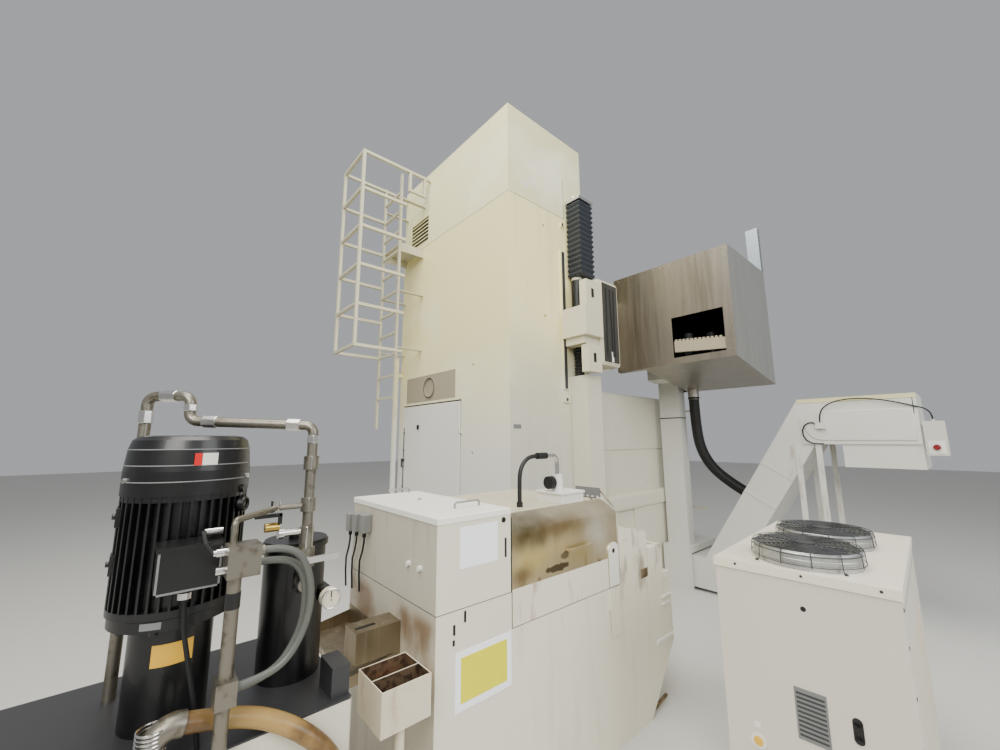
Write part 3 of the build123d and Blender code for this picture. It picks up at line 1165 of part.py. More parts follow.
with BuildPart() as motor_frame:
    with BuildSketch(Plane.XY.offset(FRAME_FLOOR - 4)) as finned:
        with Locations(motor_spot):
            Circle(MOTOR_RADIUS - 18)
            with PolarLocations(MOTOR_RADIUS - 13, MOTOR_FINS):
                Rectangle(26, 6)
    extrude(amount=COVER_FLOOR - FRAME_FLOOR + 4)
    rod(motor_spot, MOTOR_RADIUS, FRAME_FLOOR - 4, FRAME_FLOOR + 16)
    rod(motor_spot, MOTOR_RADIUS - 1, COVER_FLOOR - 16, COVER_FLOOR)
    # terminal box with its lid and a gland
    block((-2520, MOTOR_X - MOTOR_RADIUS + 34), (4480, 4620), (1409, 1520))
    block((-2524, -2416), (4476, 4624), (1514, 1526))
    rod((-2466, 4550), 16, 1380, 1409)
    rod(motor_spot, MOTOR_SHAFT + BORE_GAP, FRAME_FLOOR - 4, COVER_FLOOR, mode=Mode.SUBTRACT)

write("motor_frame", motor_frame)

with BuildPart() as motor_fan_cover:
    with BuildSketch(Plane.XZ) as cover_side:
        with BuildLine():
            Polyline(
                (COVER_RADIUS, COVER_FLOOR), (COVER_RADIUS, COVER_FLOOR + 70),
                (COVER_RADIUS - 6, COVER_TOP - 40), (COVER_RADIUS - 13, COVER_TOP - 14),
                (COVER_RADIUS - 26, COVER_TOP - 3), (COVER_RADIUS - 44, COVER_TOP), (34, COVER_TOP),
                (34, COVER_TOP - 5), (COVER_RADIUS - 45, COVER_TOP - 5), (COVER_RADIUS - 29, COVER_TOP - 8),
                (COVER_RADIUS - 18, COVER_TOP - 18), (COVER_RADIUS - 11, COVER_TOP - 42),
                (COVER_RADIUS - 5, COVER_FLOOR + 70), (COVER_RADIUS - 5, COVER_FLOOR), close=True,
            )
        make_face()
    revolve(axis=Axis.Z)
    with BuildSketch(Plane.XY.offset(COVER_TOP - 8)) as grille:
        with PolarLocations(76, 18):
            Rectangle(64, 10)
    extrude(amount=12, mode=Mode.SUBTRACT)

motor_fan_cover.part.position = (MOTOR_X, MOTOR_Y, 0)
write("motor_fan_cover", motor_fan_cover)

with BuildPart() as motor_rotor:
    rod(motor_spot, MOTOR_SHAFT, FLANGE_FLOOR - 55, COVER_FLOOR + 60)
    rod(motor_spot, 44, COVER_FLOOR + 26, COVER_FLOOR + 60)
    with Locations((MOTOR_X, MOTOR_Y, COVER_FLOOR + 66)):
        with PolarLocations(80, 9):
            Box(120, 6, 76)
    rod(motor_spot, 136, COVER_FLOOR + 22, COVER_FLOOR + 28)

write("motor_rotor", motor_rotor)

with BuildPart() as filter_vessel:
    rod((FILTER_X, FILTER_Y), FILTER_RADIUS, UNIT_TOP, FILTER_TOP - 24)
    rod((FILTER_X, FILTER_Y), FILTER_RADIUS + 8, FILTER_TOP - 24, FILTER_TOP - 8)
    rod((FILTER_X, FILTER_Y), FILTER_RADIUS + 2, FILTER_TOP - 8, FILTER_TOP)
    rod((FILTER_X, FILTER_Y), 26, FILTER_TOP, FILTER_TOP + 18)
    block((-2326, FILTER_X), (4108, 4148), (1237, 1277))
    block((-2352, FILTER_X), (4202, 4242), (1300, 1350))

write("filter_vessel", filter_vessel)

with BuildPart() as pressure_gauge:
    rod((4128, 1257), 33, -2392, -2364, "x")
    rod((4128, 1257), 29, -2392, -2389, "x", Mode.SUBTRACT)
    rod((4128, 1257), 9, -2364, -2326, "x")
    rod((4128, 1257), 3, -2392, -2389, "x")
    block((-2391, -2389), (4126, 4129), (1257, 1280))

write("pressure_gauge", pressure_gauge)

with BuildPart() as pressure_pipes:
    # up behind the motor, over it and down to the filter
    tube([(-2050, 4678, UNIT_TOP), (-2050, 4678, 1954), (-2152, 4564, 1954), (-2152, 4564, 1868),
          (-2385, 4222, 1852), (-2385, 4222, 1500)], 17, 30)
    for fitting_z in (1560, 1700):
        rod((-2385, 4222), 25, fitting_z, fitting_z + 46)
    rod((-2385, 4222), 22, 1303, 1510)
    rod((-2385, 4222), 29, 1380, 1440)
    rod((4222, 1325), 22, -2407, -2352, "x")
    rod((4222, 1410), 8 + BORE_GAP, -2420, -2395, "x", Mode.SUBTRACT)
    # stand pipe and its manifold
    rod((-2575, 4455), 17, 0, 1440)
    block((-2606, -2528), (4400, 4478), (1440, 1520))
    block((-2606, -2544), (4430, 4478), (1130, 1190))
    rod((-2575, 4455), 30, 0, 12)
    for outlet in ((-2590, 1500), (-2558, 1462)):
        rod(outlet, 14, 4392, 4400, "y")
    tube([(-2544, 4460, 1520), (-2544, 4460, 1580), (-2385, 4320, 1580), (-2385, 4222, 1580)], 9, 14)
    for clamp_z in (300, 860):
        block((-2575, UNIT_LEFT), (4445, 4465), (clamp_z, clamp_z + 14))
    # elbow that takes the suction hose
    tube([(-2510, 4590, UNIT_TOP + 35), (-2510, 4590, UNIT_TOP + 100), (-2510, 4526, UNIT_TOP + 86)], 30, 42)

write("pressure_pipes", pressure_pipes)

with BuildPart() as valve_lever:
    rod((4222, 1410), 8, -2437, -2396, "x")
    block((-2443, -2435), (4130, 4232), (1400, 1420))

write("valve_lever", valve_lever)

with BuildPart() as hose_upper:
    cord(
        "hose_upper",
        [(-2590, 4392, 1500), (-2590, 4312, 1500), (-2590, 4262, 1410), (-2590, 4258, 1300),
         (-2590, 4300, 1205), (-2590, 4360, 1170), (-2590, 4430, 1170)],
        20,
    )

write("hose_upper", hose_upper)

with BuildPart() as hose_lower:
    cord(
        "hose_lower",
        [(-2558, 4392, 1462), (-2558, 4325, 1462), (-2558, 4275, 1415), (-2558, 4262, 1330),
         (-2558, 4275, 1240), (-2558, 4340, 1150), (-2558, 4430, 1150)],
        20,
    )

write("hose_lower", hose_lower)

with BuildPart() as suction_hose:
    cord(
        "suction_hose",
        [(-2510, 4526, UNIT_TOP + 86), (-2510, 4398, UNIT_TOP + 58), (-2567, 4278, UNIT_TOP + 8),
         (-2594, 4172, 905), (-2604, 4112, 742), (-2604, 4098, 580), (-2604, 4098, 450)],
        50,
    )

write("suction_hose", suction_hose)

# Chiller

chiller_spot = Location((CHILLER_X, CHILLER_Y, 0), (0, 0, CHILLER_TURN))
half_width = CHILLER_WIDTH / 2
half_length = CHILLER_LENGTH / 2
lid_floor = CHILLER_TOP - CHILLER_LID
fans = (FAN_FRONT, FAN_REAR)

with BuildPart() as chiller_cabinet:
    with Locations(chiller_spot):
        block((-half_width, half_width), (-half_length, half_length), (90, lid_floor))
        for foot_y in (-half_length + 80, half_length - 160):
            block((-half_width + 30, half_width - 30), (foot_y, foot_y + 80), (0, 90))
        block((-half_width, -half_width + 6), (-half_length + 120, half_length - 120),
              (260, 900), Mode.SUBTRACT)
        with Locations((-half_width + 3, 0, 580)):
            with GridLocations(1, 80, 1, 12, align=(Align.CENTER, Align.CENTER)):
                Box(6, 12, 600)
        block((-half_width + 90, half_width - 90), (-half_length, -half_length + 4), (300, 900), Mode.SUBTRACT)

write("chiller_cabinet", chiller_cabinet)

with BuildPart() as chiller_lid:
    with Locations(chiller_spot):
        block((-half_width - 6, half_width + 6), (-half_length - 6, half_length + 6), (lid_floor, CHILLER_TOP))
        for fan_y in fans:
            rod((0, fan_y), FAN_RADIUS - 12, lid_floor + 8, CHILLER_TOP, mode=Mode.SUBTRACT)
            rod((0, fan_y), 46, lid_floor + 8, CHILLER_TOP + 8)
            rod((0, fan_y), 8 + BORE_GAP, lid_floor + 12, CHILLER_TOP + 8, mode=Mode.SUBTRACT)

write("chiller_lid", chiller_lid)

with BuildPart() as fan_guards:
    with Locations(chiller_spot):
        for fan_y in fans:
            rod((0, fan_y), FAN_RADIUS + 10, CHILLER_TOP, CHILLER_TOP + FAN_DRUM)
            rod((0, fan_y), FAN_RADIUS, CHILLER_TOP, CHILLER_TOP + FAN_DRUM, mode=Mode.SUBTRACT)
            for clip in range(4):
                with Locations(Location((0, fan_y, 0), (0, 0, 45 + clip * 90))):
                    block((FAN_RADIUS + 6, FAN_RADIUS + 40), (-14, 14), (CHILLER_TOP, CHILLER_TOP + 14))
            ring_z = (CHILLER_TOP + FAN_DRUM, CHILLER_TOP + FAN_DRUM + 6)
            for ring in range(GUARD_RINGS):
                radius = FAN_RADIUS + 8 - ring * 52
                rod((0, fan_y), radius, *ring_z)
                rod((0, fan_y), radius - 6, *ring_z, mode=Mode.SUBTRACT)
            rod((0, fan_y), 44, *ring_z)
            for bar in range(2):
                with Locations(Location((0, fan_y, 0), (0, 0, 20 + bar * 90))):
                    block((-FAN_RADIUS - 5, FAN_RADIUS + 5), (-3, 3), ring_z)

write("fan_guards", fan_guards)


def fan(fan_y):
    """A five-bladed fan on a stub shaft, in the place of one of the chiller's fans."""
    with Locations(chiller_spot):
        rod((0, fan_y), 8, lid_floor + 14, CHILLER_TOP + 12)
        rod((0, fan_y), 42, CHILLER_TOP + 8 + SLIDE_GAP, CHILLER_TOP + 52)
        for blade in range(5):
            with Locations(Location((0, fan_y, CHILLER_TOP + 32), (0, 0, blade * 72))):
                with Locations(Location((114, 0, 0), (24, 0, 0))):
                    Box(160, 96, 4)


with BuildPart() as fan_front:
    fan(FAN_FRONT)

write("fan_front", fan_front)

with BuildPart() as fan_rear:
    fan(FAN_REAR)

write("fan_rear", fan_rear)
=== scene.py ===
import json
import math

import bmesh
import bpy
from mathutils import Matrix, Vector


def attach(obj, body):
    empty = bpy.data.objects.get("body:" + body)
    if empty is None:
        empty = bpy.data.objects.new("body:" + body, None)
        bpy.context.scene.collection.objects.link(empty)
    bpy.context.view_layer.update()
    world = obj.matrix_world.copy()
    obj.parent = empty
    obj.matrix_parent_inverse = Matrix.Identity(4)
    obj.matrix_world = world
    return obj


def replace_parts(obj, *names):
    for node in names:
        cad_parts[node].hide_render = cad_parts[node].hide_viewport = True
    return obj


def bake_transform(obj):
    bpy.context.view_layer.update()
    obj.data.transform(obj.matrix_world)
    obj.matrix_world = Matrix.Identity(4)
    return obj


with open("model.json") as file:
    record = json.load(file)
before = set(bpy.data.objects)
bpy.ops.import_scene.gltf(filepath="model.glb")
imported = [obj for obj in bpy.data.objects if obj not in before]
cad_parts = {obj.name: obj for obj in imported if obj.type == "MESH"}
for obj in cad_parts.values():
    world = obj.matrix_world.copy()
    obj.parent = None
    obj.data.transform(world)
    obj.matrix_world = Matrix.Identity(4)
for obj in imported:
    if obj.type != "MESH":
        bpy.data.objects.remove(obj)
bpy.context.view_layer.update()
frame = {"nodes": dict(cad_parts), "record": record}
scene = bpy.context.scene
link = scene.collection.objects.link

# Camera at the photograph's viewing angle

camera = bpy.data.objects.new("camera", bpy.data.cameras.new("camera"))
link(camera)
camera.data.sensor_width = 36
camera.data.lens = 14.63
camera.data.clip_start = 0.05
camera.data.clip_end = 100
yaw, pitch, roll = math.radians(-41.045), math.radians(9.054), math.radians(-0.21)
look = Vector((math.cos(yaw) * math.cos(pitch), math.sin(yaw) * math.cos(pitch), math.sin(pitch)))
turn = look.to_track_quat("-Z", "Y").to_matrix().to_4x4() @ Matrix.Rotation(roll, 4, "Z")
camera.matrix_world = Matrix.Translation((-3.924, 4.68, 1.8)) @ turn
scene.camera = camera


# Cords: the same points as in the CAD, as curves

def cord_curve(name, points, diameter):
    """A NURBS curve through control points, riding on the machine body."""
    data = bpy.data.curves.new(name, "CURVE")
    data.dimensions = "3D"
    data.bevel_depth = 1.0
    data.bevel_resolution = 5
    line = data.splines.new("NURBS")
    line.points.add(len(points) - 1)
    for spot, point in zip(line.points, points):
        spot.co = (*point, 1)
        spot.radius = diameter / 2
    line.order_u = 3
    line.use_endpoint_u = True
    line.resolution_u = 16
    piece = bpy.data.objects.new(name, data)
    link(piece)
    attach(piece, "machine")
    return piece


def curve_line(piece):
    """The points along a curve's centre line."""
    data = piece.data.copy()
    data.bevel_depth = 0
    probe = bpy.data.objects.new("probe", data)
    link(probe)
    bpy.context.view_layer.update()
    mesh = probe.evaluated_get(bpy.context.evaluated_depsgraph_get()).to_mesh()
    line = [vertex.co.copy() for vertex in mesh.vertices]
    bpy.data.objects.remove(probe)
    return line


slope = math.radians(59)
incline_x, incline_z = -1.652, 0.4
foot_y, foot_z = -0.86, 1.145
foot_x = incline_x - (foot_z - incline_z) / math.tan(slope)
foot = (foot_x + 0.06 * math.sin(slope), foot_y, foot_z + 0.06 * math.cos(slope))
elbow = (foot[0] + 0.33 * math.sin(slope), foot_y, foot[2] + 0.33 * math.cos(slope))
cords = {
    "conduit_hose": (
        [(-1.6, -0.69, 2.309), (-1.6, -0.69, 1.96), (-1.612, -0.77, 1.63), elbow, foot],
        0.12, "hose_black", "stiff",
    ),
    "belt_cable": (
        [(-2.92, -0.512, 1.96), (-2.92, -0.512, 2.065), (-3.005, -0.514, 2.155), (-3.15, -0.516, 2.188),
         (-3.31, -0.518, 2.18), (-3.46, -0.524, 2.145), (-3.595, -0.534, 2.095), (-3.712, -0.564, 2.05),
         (-3.712, -0.564, 1.966)],
        0.012, "cable_black", "medium",
    ),
    "riser_hose": (
        [(-2.09, 2.93, 1.43), (-2.09, 2.93, 1.515), (-2.09, 2.927, 1.605), (-2.09, 2.894, 1.663),
         (-2.09, 2.836, 1.697), (-2.09, 2.775, 1.697)],
        0.026, "hose_black", "medium",
    ),
    "hose_upper": (
        [(-2.59, 4.392, 1.5), (-2.59, 4.312, 1.5), (-2.59, 4.262, 1.41), (-2.59, 4.258, 1.3),
         (-2.59, 4.3, 1.205), (-2.59, 4.36, 1.17), (-2.59, 4.43, 1.17)],
        0.02, "hose_grey", "medium",
    ),
    "hose_lower": (
        [(-2.558, 4.392, 1.462), (-2.558, 4.325, 1.462), (-2.558, 4.275, 1.415), (-2.558, 4.262, 1.33),
         (-2.558, 4.275, 1.24), (-2.558, 4.34, 1.15), (-2.558, 4.43, 1.15)],
        0.02, "hose_grey", "medium",
    ),
    "suction_hose": (
        [(-2.51, 4.526, 1.086), (-2.51, 4.398, 1.058), (-2.567, 4.278, 1.008), (-2.594, 4.172, 0.905),
         (-2.604, 4.112, 0.742), (-2.604, 4.098, 0.58), (-2.604, 4.098, 0.45)],
        0.05, "hose_brown", "stiff",
    ),
}
cord_pieces = {}
cord_lines = {}
for name, (points, diameter, material_slot, stiffness) in cords.items():
    piece = cord_curve(name + "_line", points, diameter)
    line = curve_line(piece)
    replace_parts(piece, name)
    cord_pieces[name] = piece
    cord_lines[name] = line


# Materials; a colour is given by the 0 to 255 values that a screen shows

def linear(colour):
    """A screen's colour as linear values, with full alpha."""
    parts = [value / 255 for value in colour]
    return (*(part / 12.92 if part <= 0.04045 else ((part + 0.055) / 1.055) ** 2.4 for part in parts), 1)


class Look:
    """A principled material, and the masks over its object coordinates that tint it."""

    def __init__(self, name, colour, rough=0.5, metal=0.0, coat=0.0):
        self.material = bpy.data.materials.new(name)
        self.material.use_nodes = True
        self.tree = self.material.node_tree
        self.shader = self.tree.nodes["Principled BSDF"]
        values = {"Base Color": linear(colour), "Roughness": rough, "Metallic": metal, "Coat Weight": coat}
        for socket, value in values.items():
            self.shader.inputs[socket].default_value = value
        self.place = self.node("TexCoord", {}).outputs["Object"]
        self.parts = self.node("SeparateXYZ", {0: self.place}).outputs

    def node(self, kind, inputs, **settings):
        """A new node with these settings, its inputs from sockets or plain values."""
        made = self.tree.nodes.new("ShaderNode" + kind)
        for key, value in settings.items():
            setattr(made, key, value)
        for key, value in inputs.items():
            if isinstance(value, bpy.types.NodeSocket):
                self.tree.links.new(value, made.inputs[key])
            else:
                made.inputs[key].default_value = value
        return made

    def times(self, *values):
        """The product of sockets and numbers, kept between 0 and 1."""
        product = values[0]
        for value in values[1:]:
            both = {0: product, 1: value}
            product = self.node("Math", both, operation="MULTIPLY", use_clamp=True).outputs[0]
        return product

    def ramp(self, source, low, high, invert=False):
        """A socket's values from low to high, mapped softly to 0..1, or to 1..0."""
        start, stop = (1.0, 0.0) if invert else (0.0, 1.0)
        ends = {"Value": source, "From Min": low, "From Max": high, "To Min": start, "To Max": stop}
        return self.node("MapRange", ends, interpolation_type="SMOOTHSTEP").outputs["Result"]

    def beyond(self, axis, low, high, invert=False):
        """0 before and 1 beyond a value of X, Y or Z (0, 1, 2), or the other way round."""
        return self.ramp(self.parts[axis], low, high, invert)

    def band(self, axis, low, high, soft=0.02):
        """1 between two values of X, Y or Z (0, 1, 2), else 0."""
        return self.times(self.beyond(axis, low - soft, low), self.beyond(axis, high, high + soft, True))

    def room(self, spans, soft):
        """1 inside a box given by its X, Y and Z spans, else 0."""
        return self.times(*(self.band(axis, low, high, soft) for axis, (low, high) in enumerate(spans)))

    def noise(self, scale, stretch=(1, 1, 1), detail=4.0, seed=0.0):
        """A noise value over the object coordinates."""
        spot = (seed, seed * 0.7, seed * 1.3)
        mapped = self.node("Mapping", {"Vector": self.place, "Scale": stretch, "Location": spot})
        inputs = {"Vector": mapped.outputs["Vector"], "Scale": scale, "Detail": detail}
        return self.node("TexNoise", inputs).outputs["Fac"]

    def patches(self, scale, low, high, stretch=(1, 1, 1), detail=4.0, seed=0.0):
        """Patches of 1 where a noise rises from low to high, else 0."""
        return self.ramp(self.noise(scale, stretch, detail, seed), low, high)

    def spot(self, centre, size, near, uneven, low, high):
        """1 around a point and 0 away from it, by the distance in units of a size and a noise."""
        value = self.place
        for operation, other in (("SUBTRACT", centre), ("DIVIDE", size)):
            value = self.node("VectorMath", {0: value, 1: other}, operation=operation).outputs[0]
        far = self.node("VectorMath", {0: value}, operation="LENGTH").outputs["Value"]
        both = {0: self.times(far, near), 1: uneven}
        added = self.node("Math", both, operation="ADD", use_clamp=True).outputs[0]
        return self.ramp(added, low, high, invert=True)

    def blot(self, centre, size, seed):
        """A spot with a ragged edge."""
        return self.spot(centre, size, 0.5, self.times(self.noise(24, seed=seed), 0.5), 0.5, 0.62)

    def pool(self, centre, size, seed):
        """A soft cloud that fades outwards."""
        uneven = self.times(self.noise(9, detail=5.0, seed=seed), 0.45)
        return self.spot(centre, size, 0.4, uneven, 0.2, 0.85)

    def tint(self, mask, colour, amount=1.0):
        """Lays an amount of a colour over what the base colour holds so far, by a mask."""
        base = self.shader.inputs["Base Color"]
        below = base.links[0].from_socket if base.links else tuple(base.default_value)
        layers = {"A": below, "B": linear(colour), "Factor": self.times(mask, amount)}
        self.tree.links.new(self.node("Mix", layers, data_type="RGBA").outputs["Result"], base)

    def streaks(self, mask, colour, amount, low, seed, stretch):
        """Vertical runs of a colour inside a mask."""
        runs = self.patches(1.0, low, low + 0.18, stretch, seed=seed)
        self.tint(self.times(runs, mask), colour, amount)

    def roughen(self, mask, low, high):
        """Roughness between two values by a mask."""
        made = self.node("MapRange", {"Value": mask, "To Min": low, "To Max": high})
        self.tree.links.new(made.outputs["Result"], self.shader.inputs["Roughness"])

    def bump(self, height, strength, distance):
        """Slight unevenness of the surface."""
        made = self.node("Bump", {"Height": height, "Strength": strength, "Distance": distance})
        self.tree.links.new(made.outputs["Normal"], self.shader.inputs["Normal"])


GRIME = (120, 104, 72)
RUST = (140, 84, 44)
BRUSHED = (18, 18, 0.7)


def paint(name, colour, rough, dirt):
    """Painted sheet: slightly uneven, with faint grime, run marks and specks."""
    look = Look(name, colour, rough)
    look.tint(look.patches(1.3, 0.45, 0.8), GRIME, dirt * 0.4)
    look.tint(look.patches(1.0, 0.56, 0.8, (26, 26, 0.8), 3.0, 4.0), GRIME, dirt * 0.22)
    look.tint(look.patches(60, 0.68, 0.74, detail=2.0, seed=8.0), GRIME, dirt * 0.7)
    look.roughen(look.noise(6.0, seed=2.0), rough - 0.08, rough + 0.12)
    look.bump(look.noise(2.2, seed=9.0), 0.15, 0.004)
    return look


def steel(name, colour, rough, streak, streak_colour=(112, 92, 60)):
    """Bare sheet steel with vertical brushing, stains and streaks."""
    look = Look(name, colour, rough, metal=1.0)
    look.tint(look.patches(0.5, 0.42, 0.72, BRUSHED, 5.0, 1.0), streak_colour, streak)
    look.tint(look.patches(2.2, 0.5, 0.8, BRUSHED, 6.0, 5.0), (222, 220, 214), streak * 0.7)
    look.roughen(look.noise(1.5, BRUSHED, 4.0, 3.0), rough - 0.1, rough + 0.2)
    look.bump(look.noise(0.8, seed=6.0), 0.25, 0.01)
    return look


def mottled(name, colour, rough, scale, low, high, other, amount=1.0, metal=0.0, coat=0.0):
    """A plain material with patches of another colour."""
    look = Look(name, colour, rough, metal, coat)
    look.tint(look.patches(scale, low, high), other, amount)
    return look


# Column and its cap: yellower above, greyer below, and painted shade on the side towards the units
look = column_paint = paint("column_paint", (216, 216, 208), 0.36, dirt=0.14)
look.tint(look.beyond(2, 1.2, 3.2), (242, 231, 166), 0.92)
# Painted shade: the side towards the units is greyer, up to about 3.4 m.
shaded_unit_side = look.beyond(0, -1.0998, -1.0985, invert=True)
look.tint(look.times(shaded_unit_side, look.beyond(2, 2.2, 3.4, invert=True)), (176, 174, 160), 0.6)
look.tint(look.patches(0.9, 0.5, 0.75, seed=14.0), (246, 244, 226), 0.45)
look.streaks(shaded_unit_side, (150, 142, 118), 0.1, 0.5, 3.0, (9, 9, 0.6))
look = head_paint = paint("head_paint", (236, 230, 180), 0.42, dirt=0.14)
# Painted shade: the cap's side towards the units is darker.
look.tint(look.beyond(0, -1.0998, -1.0985, invert=True), (198, 196, 160), 0.5)
look.tint(look.patches(1.1, 0.48, 0.75, seed=14.0), (248, 247, 236), 0.5)

# Coolant tank and cabinet: an end darkened by painted shade and grime, and stains low on the side
look = cabinet_paint = paint("cabinet_paint", (222, 216, 198), 0.4, dirt=0.14)
end_face = look.beyond(1, 3.6655, 3.6668)
# Painted shade with grime: the whole end face is darker.
look.tint(end_face, (160, 150, 130), 0.55)
look.streaks(end_face, (124, 106, 74), 0.22, 0.5, 2.0, (12, 12, 1.5))
grimy = look.patches(5, 0.38, 0.66, (1, 1, 0.6), seed=6.0)
look.tint(look.times(end_face, look.band(2, 0.76, 0.985, 0.075), grimy), (116, 86, 50), 0.8)
low_end = look.times(look.band(1, 1.4, 2.30), look.band(2, 0.80, 1.3))
look.streaks(low_end, (92, 72, 46), 0.6, 0.46, 5.0, (10, 10, 4))
tank_side = look.times(look.band(2, 0.0, 0.9), look.band(1, 1.6, 3.3))
look.streaks(tank_side, (150, 128, 92), 0.12, 0.5, 7.0, (12, 12, 1.5))

# Conveyor, with rust on its legs, and the other painted sheets
look = conveyor_paint = paint("conveyor_paint", (202, 202, 194), 0.4, dirt=0.18)
legs = look.times(look.band(0, -2.95, -2.60), look.band(2, 0.2, 1.72, 0.05))
look.streaks(legs, RUST, 0.35, 0.50, 6.0, (20, 20, 4))
enclosure_paint = paint("enclosure_paint", (206, 202, 184), 0.3, dirt=0.16)
rail_paint = paint("rail_paint", (206, 200, 176), 0.4, dirt=0.2)
brown_panel = paint("brown_panel", (160, 150, 128), 0.45, dirt=0.3)
door_paint = paint("door_paint", (220, 219, 210), 0.3, dirt=0.1)
ladder_paint = paint("ladder_paint", (190, 185, 160), 0.45, dirt=0.2)
lid_paint = paint("lid_paint", (238, 236, 226), 0.35, dirt=0.08)
edge_paint = paint("edge_paint", (206, 202, 154), 0.45, dirt=0.2)
deck_paint = paint("deck_paint", (198, 188, 162), 0.38, dirt=0.3)
plain_white = paint("plain_white", (222, 220, 212), 0.4, dirt=0.1)
chiller_white = paint("chiller_white", (226, 219, 200), 0.35, dirt=0.14)
chiller_side = paint("chiller_side", (204, 198, 184), 0.4, dirt=0.15)
cast_grey = paint("cast_grey", (120, 121, 116), 0.6, dirt=0.3)

# High pressure unit's tank, dark on top; chip boxes, rusty and dark inside
look = unit_paint = paint("unit_paint", (208, 203, 186), 0.4, dirt=0.25)
look.tint(look.beyond(2, 0.9945, 0.9949), (44, 44, 46))
look = rust_white = paint("rust_white", (220, 214, 198), 0.45, dirt=0.3)
look.streaks(1.0, RUST, 0.6, 0.56, 4.0, (16, 16, 3))
look = rust_box = paint("rust_box", (210, 200, 176), 0.5, dirt=0.35)
look.streaks(1.0, RUST, 0.4, 0.54, 2.0, (11, 11, 5))
inside = look.room(((-2.4175, -2.2115), (3.7345, 3.9355), (0.7515, 0.8985)), 0.0006)
look.tint(inside, (72, 50, 28), 0.95)
look.tint(look.times(inside, look.patches(40, 0.45, 0.62, seed=5.0)), (36, 25, 16), 0.8)

# Magazine guard: stained front, a painted highlight on its far side, a painted reflection on its top, and
# painted shade, black, inside above its sloping floor
look = guard_steel = steel("guard_steel", (178, 173, 164), 0.36, 0.18, (118, 110, 96))
front = look.beyond(1, 0.3590, 0.3599)
look.tint(front, (138, 130, 118), 0.8)
look.tint(look.times(look.patches(1.6, 0.4, 0.75, seed=3.0), front), (162, 152, 134), 0.4)
look.tint(look.times(front, look.beyond(2, 2.9, 3.7)), (150, 142, 124), 0.3)
look.streaks(front, (100, 90, 70), 0.2, 0.5, 8.0, (6, 6, 0.8))
# Painted highlight: the far side is lighter.
look.tint(look.beyond(0, -2.5069, -2.5064, invert=True), (196, 196, 190), 0.7)
# Painted shade: black inside the guard, above its sloping floor, where no light gets in.
lean = look.node("VectorMath", {0: look.place, 1: (0, -0.169, 1)}, operation="DOT_PRODUCT")
above_floor = look.ramp(lean.outputs["Value"], 2.5515, 2.5535)
inside = look.room(((-2.504, -1.171), (-0.767, 0.357), (2.4, 3.779)), 0.0004)
look.tint(look.times(inside, above_floor), (3, 3, 3))
# Painted reflection: the top is a pale bluish grey.
look.tint(look.beyond(2, 3.783, 3.785), (158, 168, 172))

# Hood: a painted highlight along its upper bend, clouds of rust and coolant with one painted highlight
# among them, dark blots and runs low down
look = hood_steel = steel("hood_steel", (206, 192, 160), 0.36, 0.12)
hood_x = -2.342
# Painted highlight along the bend at the hood's upper edge.
look.tint(look.band(2, 1.345, 1.5, 0.05), (212, 206, 188), 0.75)
for y, z, wide, tall, amount, colour, seed in (
    (3.12, 1.31, 0.24, 0.09, 1.0, (98, 86, 54), 1.0),
    (2.82, 1.32, 0.20, 0.05, 0.8, (140, 116, 74), 2.0),
    (3.08, 1.18, 0.16, 0.07, 0.9, (224, 205, 136), 5.0),
    (2.86, 1.22, 0.16, 0.05, 0.6, (236, 216, 166), 9.0),
    # Painted highlight: the near-white cloud at the low-y end.
    (2.50, 1.22, 0.14, 0.13, 1.0, (244, 241, 232), 6.0),
    (2.66, 1.15, 0.16, 0.06, 0.6, (208, 190, 134), 7.0),
    (3.16, 1.12, 0.10, 0.05, 0.7, (112, 92, 54), 4.0),
):
    look.tint(look.pool((hood_x, y, z), (0.4, wide, tall), seed), colour, amount)
look.tint(look.blot((hood_x, 2.88, 1.105), (0.2, 0.15, 0.03), 3.0), (66, 56, 44), 0.85)
look.tint(look.blot((hood_x, 2.82, 1.16), (0.2, 0.05, 0.03), 8.0), (84, 74, 60), 0.7)
look.streaks(look.band(2, 1.0, 1.09, 0.07), (110, 80, 44), 0.4, 0.5, 5.0, (12, 12, 1.5))

# The rest: other metals, rubber, plastics and small parts
tray_steel = steel("tray_steel", (150, 138, 116), 0.4, 0.4)
dirty_steel = mottled("dirty_steel", (150, 134, 108), 0.5, 12, 0.42, 0.66, (98, 78, 52), metal=0.7)
dull_steel = mottled("dull_steel", (128, 123, 112), 0.4, 30, 0.5, 0.75, (88, 80, 66), metal=0.8)
galvanised = mottled("galvanised", (182, 184, 184), 0.38, 40, 0.45, 0.65, (150, 152, 154), 0.3, metal=0.85)
motor_black = mottled("motor_black", (9, 9, 10), 0.36, 14, 0.5, 0.8, (46, 46, 47), 0.25, coat=0.1)
hose_brown = mottled("hose_brown", (158, 128, 74), 0.36, 7, 0.42, 0.66, (88, 64, 34))
orange_rust = mottled("orange_rust", (176, 110, 52), 0.8, 34, 0.40, 0.60, (60, 42, 28))
machined = Look("machined", (190, 190, 192), 0.28, metal=1.0)
bright_steel = Look("bright_steel", (216, 214, 210), 0.22, metal=1.0)
brass = Look("brass", (206, 172, 92), 0.3, metal=1.0)
handle_steel = Look("handle_steel", (150, 150, 146), 0.35, metal=0.6)
hose_black = Look("hose_black", (14, 14, 15), 0.5)
hose_grey = Look("hose_grey", (84, 86, 80), 0.4)
bellows_dark = Look("bellows_dark", (34, 39, 47), 0.6)
